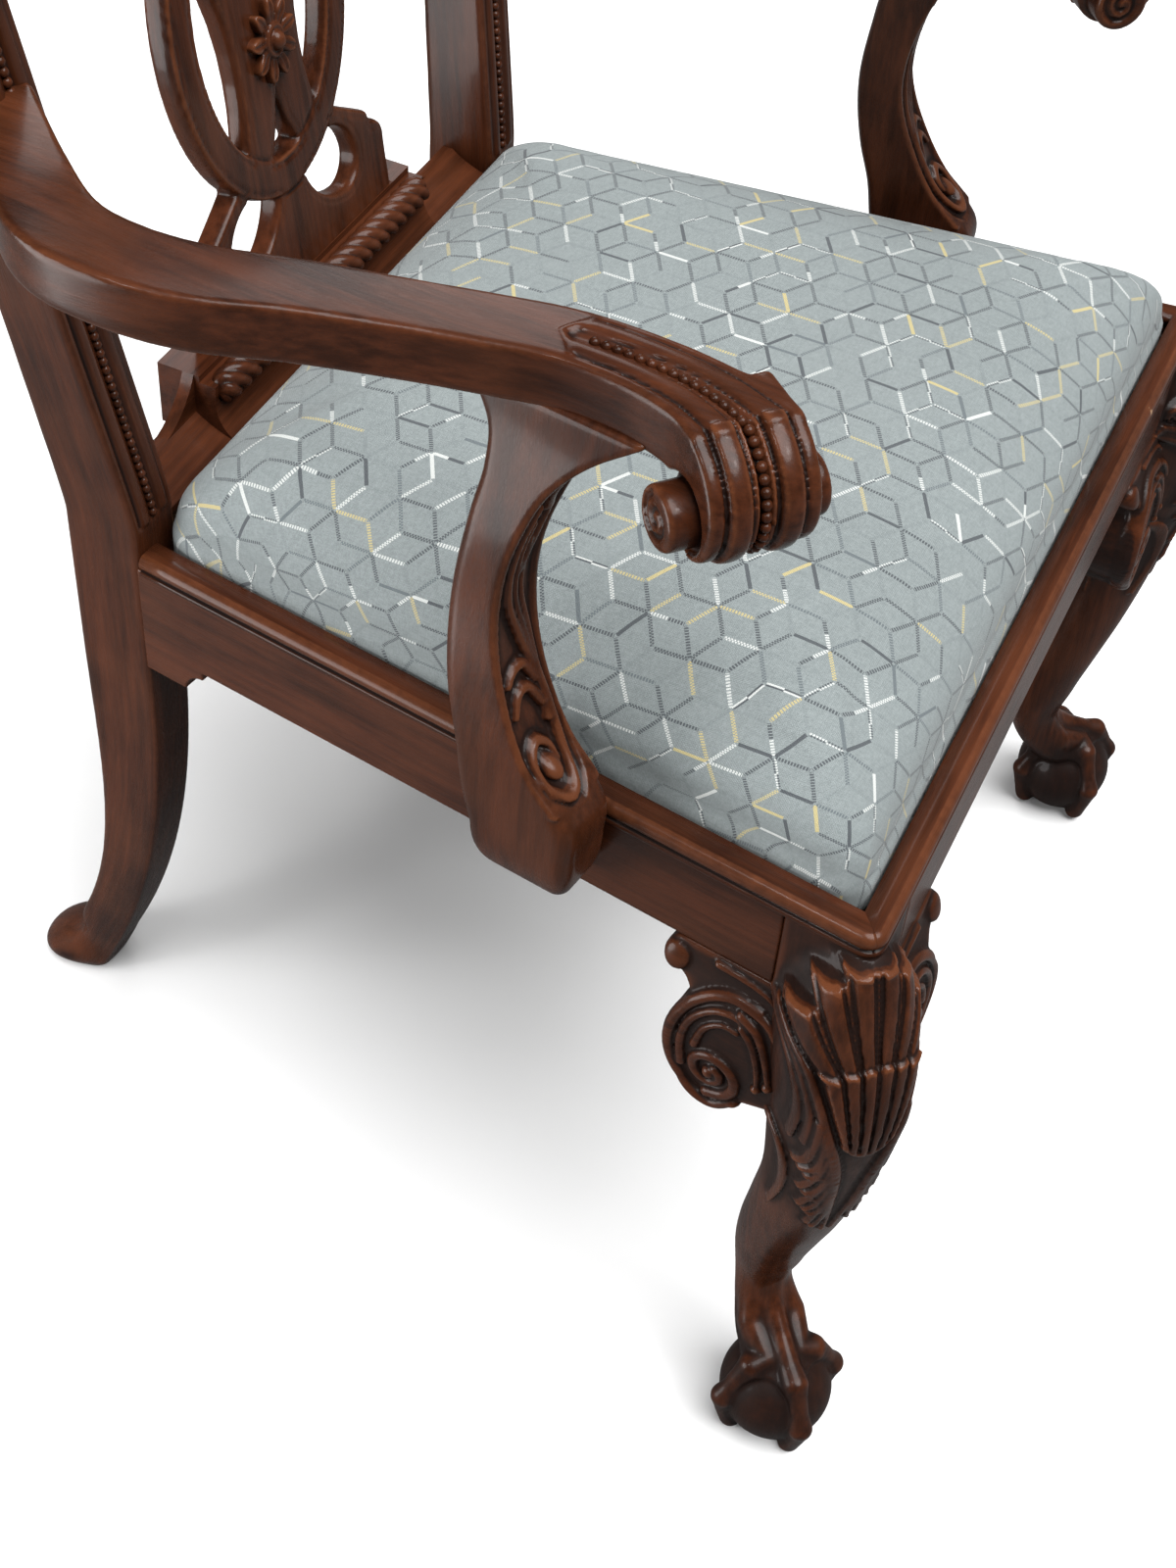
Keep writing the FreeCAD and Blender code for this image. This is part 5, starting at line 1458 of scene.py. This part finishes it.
def new_tree(name, inputs):
    tree = bpy.data.node_groups.new(name, "GeometryNodeTree")
    tree.interface.new_socket("Geometry", in_out="INPUT", socket_type="NodeSocketGeometry")
    for label, kind, value in inputs:
        socket = tree.interface.new_socket(label, in_out="INPUT", socket_type="NodeSocket" + kind)
        if value is not None:
            socket.default_value = value
    tree.interface.new_socket("Geometry", in_out="OUTPUT", socket_type="NodeSocketGeometry")
    return tree, tree.nodes.new("NodeGroupInput"), tree.nodes.new("NodeGroupOutput")


def bead_tree():
    """Round beads set at a spacing along lines, each turned to its line."""
    tree, given, result = new_tree("bead_string", [("Spacing", "Float", 0.005), ("Radius", "Float", 0.0025),
                                                   ("Length", "Float", 1.0), ("Finish", "Material", None)])

    def add(kind):
        return tree.nodes.new(kind)

    spots, bead = add("GeometryNodeCurveToPoints"), add("GeometryNodeMeshUVSphere")
    stretch, scatter = add("ShaderNodeCombineXYZ"), add("GeometryNodeInstanceOnPoints")
    real, smooth = add("GeometryNodeRealizeInstances"), add("GeometryNodeSetShadeSmooth")
    finish = add("GeometryNodeSetMaterial")
    spots.mode = "LENGTH"
    for node, label, value in ((bead, "Segments", 8), (bead, "Rings", 6),
                               (stretch, "X", 1.0), (stretch, "Y", 1.0)):
        node.inputs[label].default_value = value
    for giver, output, taker, socket in (
            (given, "Geometry", spots, "Curve"), (given, "Spacing", spots, "Length"),
            (given, "Radius", bead, "Radius"), (given, "Length", stretch, "Z"),
            (spots, "Points", scatter, "Points"), (bead, "Mesh", scatter, "Instance"),
            (spots, "Rotation", scatter, "Rotation"), (stretch, "Vector", scatter, "Scale"),
            (scatter, "Instances", real, "Geometry"), (real, "Geometry", smooth, "Geometry"),
            (smooth, "Geometry", finish, "Geometry"), (given, "Finish", finish, "Material"),
            (finish, "Geometry", result, "Geometry")):
        tree.links.new(giver.outputs[output], taker.inputs[socket])
    return tree


bead_string = bead_tree()
bead_wear = 0.45


def laid_along(name, lines, body, slot, material, **sizes):
    """Beads or domed heads along lines of drawing points, as one plain mesh."""
    curve = bpy.data.curves.new(name + "_lines", "CURVE")
    curve.dimensions = "3D"
    for line in lines:
        spots = world(line)
        spline = curve.splines.new("POLY")
        spline.points.add(len(spots) - 1)
        for point, spot in zip(spline.points, spots):
            point.co = (*spot, 1.0)
    guide = in_scene(name + "_guide", curve)
    maker = guide.modifiers.new("beads", "NODES")
    maker.node_group = bead_string
    sizes["Finish"] = material
    for item in bead_string.interface.items_tree:
        if item.in_out == "INPUT" and item.name in sizes:
            maker[item.identifier] = sizes[item.name]
    depth = bpy.context.evaluated_depsgraph_get()
    mesh = bpy.data.meshes.new_from_object(guide.evaluated_get(depth))
    mesh.name = name
    bpy.data.objects.remove(guide)
    give_vectors(mesh, "grain", mesh_points(mesh))
    give_relief(mesh, np.full(len(mesh.vertices), bead_wear))
    carried(in_scene(name, mesh), body)


def bead_lines():
    """Lines of the bead strings: up each post's front, and along each arm's channel and over its end."""
    heights = np.linspace(bead_run_low + 4, 930, 60)
    x, y = post_front(heights)
    post = np.stack([x, y + 0.9, heights], axis=1)
    top = flowing(arm_line(), 12)[:, :3]
    start = np.linalg.norm(top - side_point(channel_start - 9, -arm_neck, arm_top), axis=1).argmin()
    turns = np.linspace(88, -120, 40)
    radii = curl_radius(turns) - 1.2
    curl = scroll_centre + (radii * np.cos(np.radians(turns)))[:, None] * scroll_ahead
    curl = curl + (radii * np.sin(np.radians(turns)))[:, None] * up
    arm_beads = np.concatenate([top[start:-1] - 1.2 * up, curl])
    return [post, post * flip_x, arm_beads, arm_beads * flip_x]


laid_along("carved_beads", bead_lines(), "frame", "carved_wood", mahogany,
           Spacing=0.0052, Radius=0.0026, Length=1.0)


# Drop-in seat: crowned cover and black bottom cloth, then tacks and screws

def seat_outline(inset, extra=0.0):
    """The seat's plan moved in by inset, with rounded corners."""
    corner_steps = 8
    front, rear = rim_width + seat_gap + inset, seat_depth - seat_gap - inset
    side = front_width / 2 + (-rim_width - seat_gap - inset) / math.cos(splay)
    slope = math.tan(splay)
    corners = [np.array([side - slope * front, front]), np.array([side - slope * rear, rear])]
    corners += [spot * np.array([-1, 1]) for spot in reversed(corners)]
    radii = [seat_front_radius, seat_rear_radius, seat_rear_radius, seat_front_radius]
    points = []
    for number, spot in enumerate(corners):
        to_last = corners[number - 1] - spot
        to_next = corners[(number + 1) % 4] - spot
        to_last, to_next = to_last / np.linalg.norm(to_last), to_next / np.linalg.norm(to_next)
        half = math.acos(float(to_last @ to_next)) / 2
        radius = radii[number] + extra
        inwards = (to_last + to_next) / np.linalg.norm(to_last + to_next)
        sideways = (to_next - to_last) / np.linalg.norm(to_next - to_last)
        centre = spot + inwards * (radius / math.sin(half))
        for step in range(corner_steps + 1):
            turn = (math.pi / 2 - half) * (2 * step / corner_steps - 1)
            points.append(centre - inwards * (radius * math.cos(turn)) + sideways * (radius * math.sin(turn)))
    return np.array(points)


cover_low = ledge + 0.2
pad_roll = (seat_depth - rim_width - 2 * seat_gap) * 0.35
cover_inset = 0.4
cloth_start, cloth_voxel, cloth_frames, cloth_give = 3, 0.005, 20, 0.0025


def seat_form(crown):
    """Rings of the cover from its flat underside over the rolled edge to the crowned top."""
    rings = [(cover_inset + 4, cover_low), (cover_inset, cover_low + 2.5), (cover_inset, pad_edge - 4)]
    for step in (0.0, 0.006, 0.02, 0.045, 0.085, 0.14, 0.21, 0.3, 0.42, 0.56, 0.72, 0.88, 1.0):
        rise = crown * (1 - (1 - step) ** 2.6) ** (1 / 2.6)
        rings.append((cover_inset + pad_roll * step, pad_edge + rise))
    points = []
    for inset, z in rings:
        plan = seat_outline(inset, max(0.0, inset - cover_inset) * 0.2)
        points += [(x, y, z) for x, y in plan]
    return np.array(points), tube_faces(len(rings), len(plan))


def cloth_place(points):
    """Where each point lies on the flat cloth: straight down on top, let out down the sides."""
    plan = points[:, :2]
    middle = np.array([0.0, seat_depth / 2])
    drop = np.clip(pad_edge + pad_crown - points[:, 2], 0, None)
    near_edge = unit((drop - 14) / 40)
    away = plan - middle
    square = np.abs(away) / np.array([front_width / 2 - 20, seat_depth / 2 - 10])
    facing = np.sign(away) * square ** 5
    facing = facing / np.maximum(np.linalg.norm(facing, axis=1, keepdims=True), 1e-9)
    return np.concatenate([plan + facing * (drop * near_edge * 0.8)[:, None], points[:, 2:]], axis=1)


def seat_cover():
    """Cover blown up a little over its form by a cloth simulation, held at its lower edge."""
    points, faces = seat_form(pad_crown - cloth_start)
    mesh = bpy.data.meshes.new("seat_cover_form")
    mesh.from_pydata(world(points).tolist(), [], faces)
    face_outward(mesh)
    form = in_scene("seat_cover_form", mesh)
    remesh = form.modifiers.new("remesh", "REMESH")
    remesh.mode = "VOXEL"
    remesh.voxel_size = cloth_voxel
    depth = bpy.context.evaluated_depsgraph_get()
    even = bpy.data.meshes.new_from_object(form.evaluated_get(depth))
    form.modifiers.clear()
    form.data = even
    rest = mesh_points(even)
    blown = rest
    held = form.vertex_groups.new(name="held")
    held.add([int(one) for one in np.flatnonzero(rest[:, 2] < (pad_edge - 1) * mm)], 1.0, "REPLACE")
    cloth = form.modifiers.new("cloth", "CLOTH")
    for setting, value in (("quality", 5), ("mass", 0.3), ("tension_stiffness", 30),
                           ("compression_stiffness", 30), ("bending_stiffness", 5),
                           ("use_pressure", True), ("uniform_pressure_force", 4),
                           ("vertex_group_mass", "held")):
        setattr(cloth.settings, setting, value)
    cloth.settings.effector_weights.gravity = 0
    cloth.point_cache.frame_start = 1
    cloth.point_cache.frame_end = cloth_frames
    for number in range(1, cloth_frames + 1):
        bpy.context.scene.frame_set(number)
    depth = bpy.context.evaluated_depsgraph_get()
    moved = form.evaluated_get(depth).to_mesh()
    blown = mesh_points(moved)
    form.evaluated_get(depth).to_mesh_clear()
    form.modifiers.clear()
    bpy.context.scene.frame_set(1)
    shift = blown - rest
    length = np.linalg.norm(shift, axis=1, keepdims=True)
    blown = rest + shift * np.minimum(1, cloth_give / np.maximum(length, 1e-9))
    even.vertices.foreach_set("co", blown.ravel())
    even.update()
    bpy.data.objects.remove(form)
    cover = in_scene("seat_cover_crowned", even)
    finer = cover.modifiers.new("finer", "SUBSURF")
    finer.levels = finer.render_levels = 1
    depth = bpy.context.evaluated_depsgraph_get()
    smooth = bpy.data.meshes.new_from_object(cover.evaluated_get(depth))
    cover.modifiers.clear()
    cover.data = smooth
    smooth.shade_smooth()
    give_vectors(smooth, "cloth", cloth_place(drawing(mesh_points(smooth))) * mm)
    smooth.materials.clear()
    smooth.materials.append(fabric)
    carried(cover, "drop_in_seat", ("seat_cover", "seat_pad"))


seat_cover()


def bottom_cloth():
    """Black cloth tacked under the seat frame, sagging a little between its sides."""
    inset, sag, rings = 28.1, 2.4, 40
    edge = seat_outline(inset)
    middle = edge.mean(axis=0)
    points, faces = [], []
    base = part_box("seat_bottom_cloth")[1][2] * 1000 - 0.3
    for ring in range(rings + 1):
        share = ring / rings
        for x, y in edge:
            spot = middle + (np.array([x, y]) - middle) * max(share, 0.001)
            pucker = 0.25 * math.sin(0.13 * (x + y)) * share
            points.append((spot[0], spot[1], base - sag * (1 - share ** 2) - pucker * (1 - share)))
    size = len(edge)
    for start in range(0, rings * size, size):
        for one in range(size):
            two = (one + 1) % size
            faces.append([start + one, start + size + one, start + size + two, start + two])
    piece = new_piece("bottom_cloth_sheet", np.array(points), faces, "drop_in_seat",
                      black_cambric, ("seat_bottom_cloth",))
    x, y = edge.T


bottom_cloth()


def tack_lines():
    """Short upright lines, one for each domed tack that holds the turned-in cover under the frame."""
    inset, apart = 20.0, 34.0
    edge = seat_outline(inset)
    ring = np.concatenate([edge, edge[:1]])
    reach = np.concatenate([[0], np.cumsum(np.hypot(*np.diff(ring, axis=0).T))])
    spots = np.arange(0, reach[-1] - 20, apart)
    plan = zip(np.interp(spots, reach, ring[:, 0]), np.interp(spots, reach, ring[:, 1]))
    return [np.array([(x, y, cover_low - 0.2), (x, y, cover_low - 1.2)]) for x, y in plan]


# A spacing longer than its short lines gives one head to each
one_each = 0.034
laid_along("cover_tacks", tack_lines(), "drop_in_seat", "seat_fabric", dull_steel,
           Spacing=one_each, Radius=0.0035, Length=0.35)


def screw_lines():
    """Short lines out of each corner block's inner face, two for each block."""
    lines, screw_apart = [], 22.0
    middle = Vector((0.0, front_face + seat_depth * mm / 2, 0.0))
    for name in corner_blocks:
        mesh = nodes[name].data
        best, inner = 0.0, None
        for face in mesh.polygons:
            way = Vector((middle.x - face.center.x, middle.y - face.center.y, 0.0)).normalized()
            score = face.normal.dot(way) * face.area
            if score > best:
                best, inner = score, face
        centre, normal = drawing(np.array(inner.center)), np.array(inner.normal)
        heights = [mesh.vertices[one].co.z * 1000 for one in inner.vertices]
        centre[2] = (min(heights) + max(heights)) / 2
        for shift in (-screw_apart / 2, screw_apart / 2):
            spot = centre + np.cross(normal, up) * shift
            lines.append(np.array([spot, spot + normal]))
    return lines


laid_along("block_screws", screw_lines(), "frame", "block_wood", dull_steel,
           Spacing=one_each, Radius=0.0038, Length=0.4)


# Floor, light and camera

# Name, place, width in metres (or the sun's angle) and power; all are aimed at the seat
lamps = [("top_light", (-0.2, -0.9, 2.9), math.radians(52), 5.6),
         ("key_light", (-1.0, 0.8, 0.45), 0.9, 16.0),
         ("fill_light", (1.9, -1.4, 1.6), 2.0, 1.5),
         ("front_strip", (-0.4, -1.6, 2.5), 0.3, 4.0),
         ("side_strip", (-1.7, 0.5, 2.4), 0.3, 8.0),
         ("far_light", (1.6, 1.05, 2.0), 1.2, 13.0)]
lamp_aim = Vector((0.0, 0.0, 0.5))
floor_half, floor_bounce, air_bounce = 9.0, 0.14, 0.14
camera_place = (-0.9775, -0.1215 + front_face, 1.2716)
camera_ahead, camera_right, camera_lens = (0.6339, 0.2502, -0.7318), (0.4259, -0.9027, 0.0603), 53.63


def studio():
    """A pale floor and air that look white to the camera but throw little light back on the wood."""
    floor_mesh = bpy.data.meshes.new("studio_floor")
    work = bmesh.new()
    bmesh.ops.create_grid(work, x_segments=1, y_segments=1, size=floor_half)
    work.to_mesh(floor_mesh)
    work.free()
    floor = in_scene("studio_floor", floor_mesh)
    finish, w, shader = new_finish("pale_floor")
    place = w.node("TexCoord").outputs["Object"]
    tone = w.noise(place, 1.2, 2.0)
    pale = w.mix(tone, (0.76, 0.76, 0.76), (0.79, 0.79, 0.79))
    seen = w.node("LightPath").outputs["Is Camera Ray"]
    w.put(shader.inputs["Base Color"], w.mix(seen, (floor_bounce,) * 3, pale))
    shader.inputs["Roughness"].default_value = 0.7
    floor_mesh.materials.append(finish)
    sky = bpy.data.worlds.new("studio_air")
    sky.use_nodes = True
    bpy.context.scene.world = sky
    air = Wiring(sky.node_tree)
    glow = sky.node_tree.nodes["Background"].inputs
    glow["Color"].default_value = (1.0, 1.0, 1.0, 1.0)
    seen = air.node("LightPath").outputs["Is Camera Ray"]
    air.put(glow["Strength"], air.maths("MULTIPLY_ADD", seen, 1.0 - air_bounce, air_bounce))
    for name, spot, size, power in lamps:
        lamp = bpy.data.lights.new(name, "SUN" if name == "top_light" else "AREA")
        if lamp.type == "SUN":
            lamp.angle = size
        else:
            lamp.shape = "DISK"
            lamp.size = size
        lamp.energy = power
        holder = in_scene(name, lamp)
        holder.location = spot
        holder.visible_camera = False
        aim = lamp_aim - Vector(spot)
        holder.rotation_euler = aim.to_track_quat("-Z", "Y").to_euler()


def photo_camera():
    """The camera of the photograph: in front of the sitter's right side, looking down at the near leg."""
    ahead, right = Vector(camera_ahead).normalized(), Vector(camera_right)
    right = (right - ahead * right.dot(ahead)).normalized()
    above = right.cross(ahead)
    camera = bpy.data.cameras.new("photo_camera")
    camera.sensor_width = 36.0
    camera.lens = camera_lens
    camera.clip_start = 0.05
    holder = in_scene("photo_camera", camera)
    turn = Matrix((right, above, -ahead)).transposed().to_4x4()
    holder.matrix_world = Matrix.Translation(camera_place) @ turn
    bpy.context.scene.camera = holder


studio()
photo_camera()
bpy.context.scene.view_settings.view_transform = "Standard"
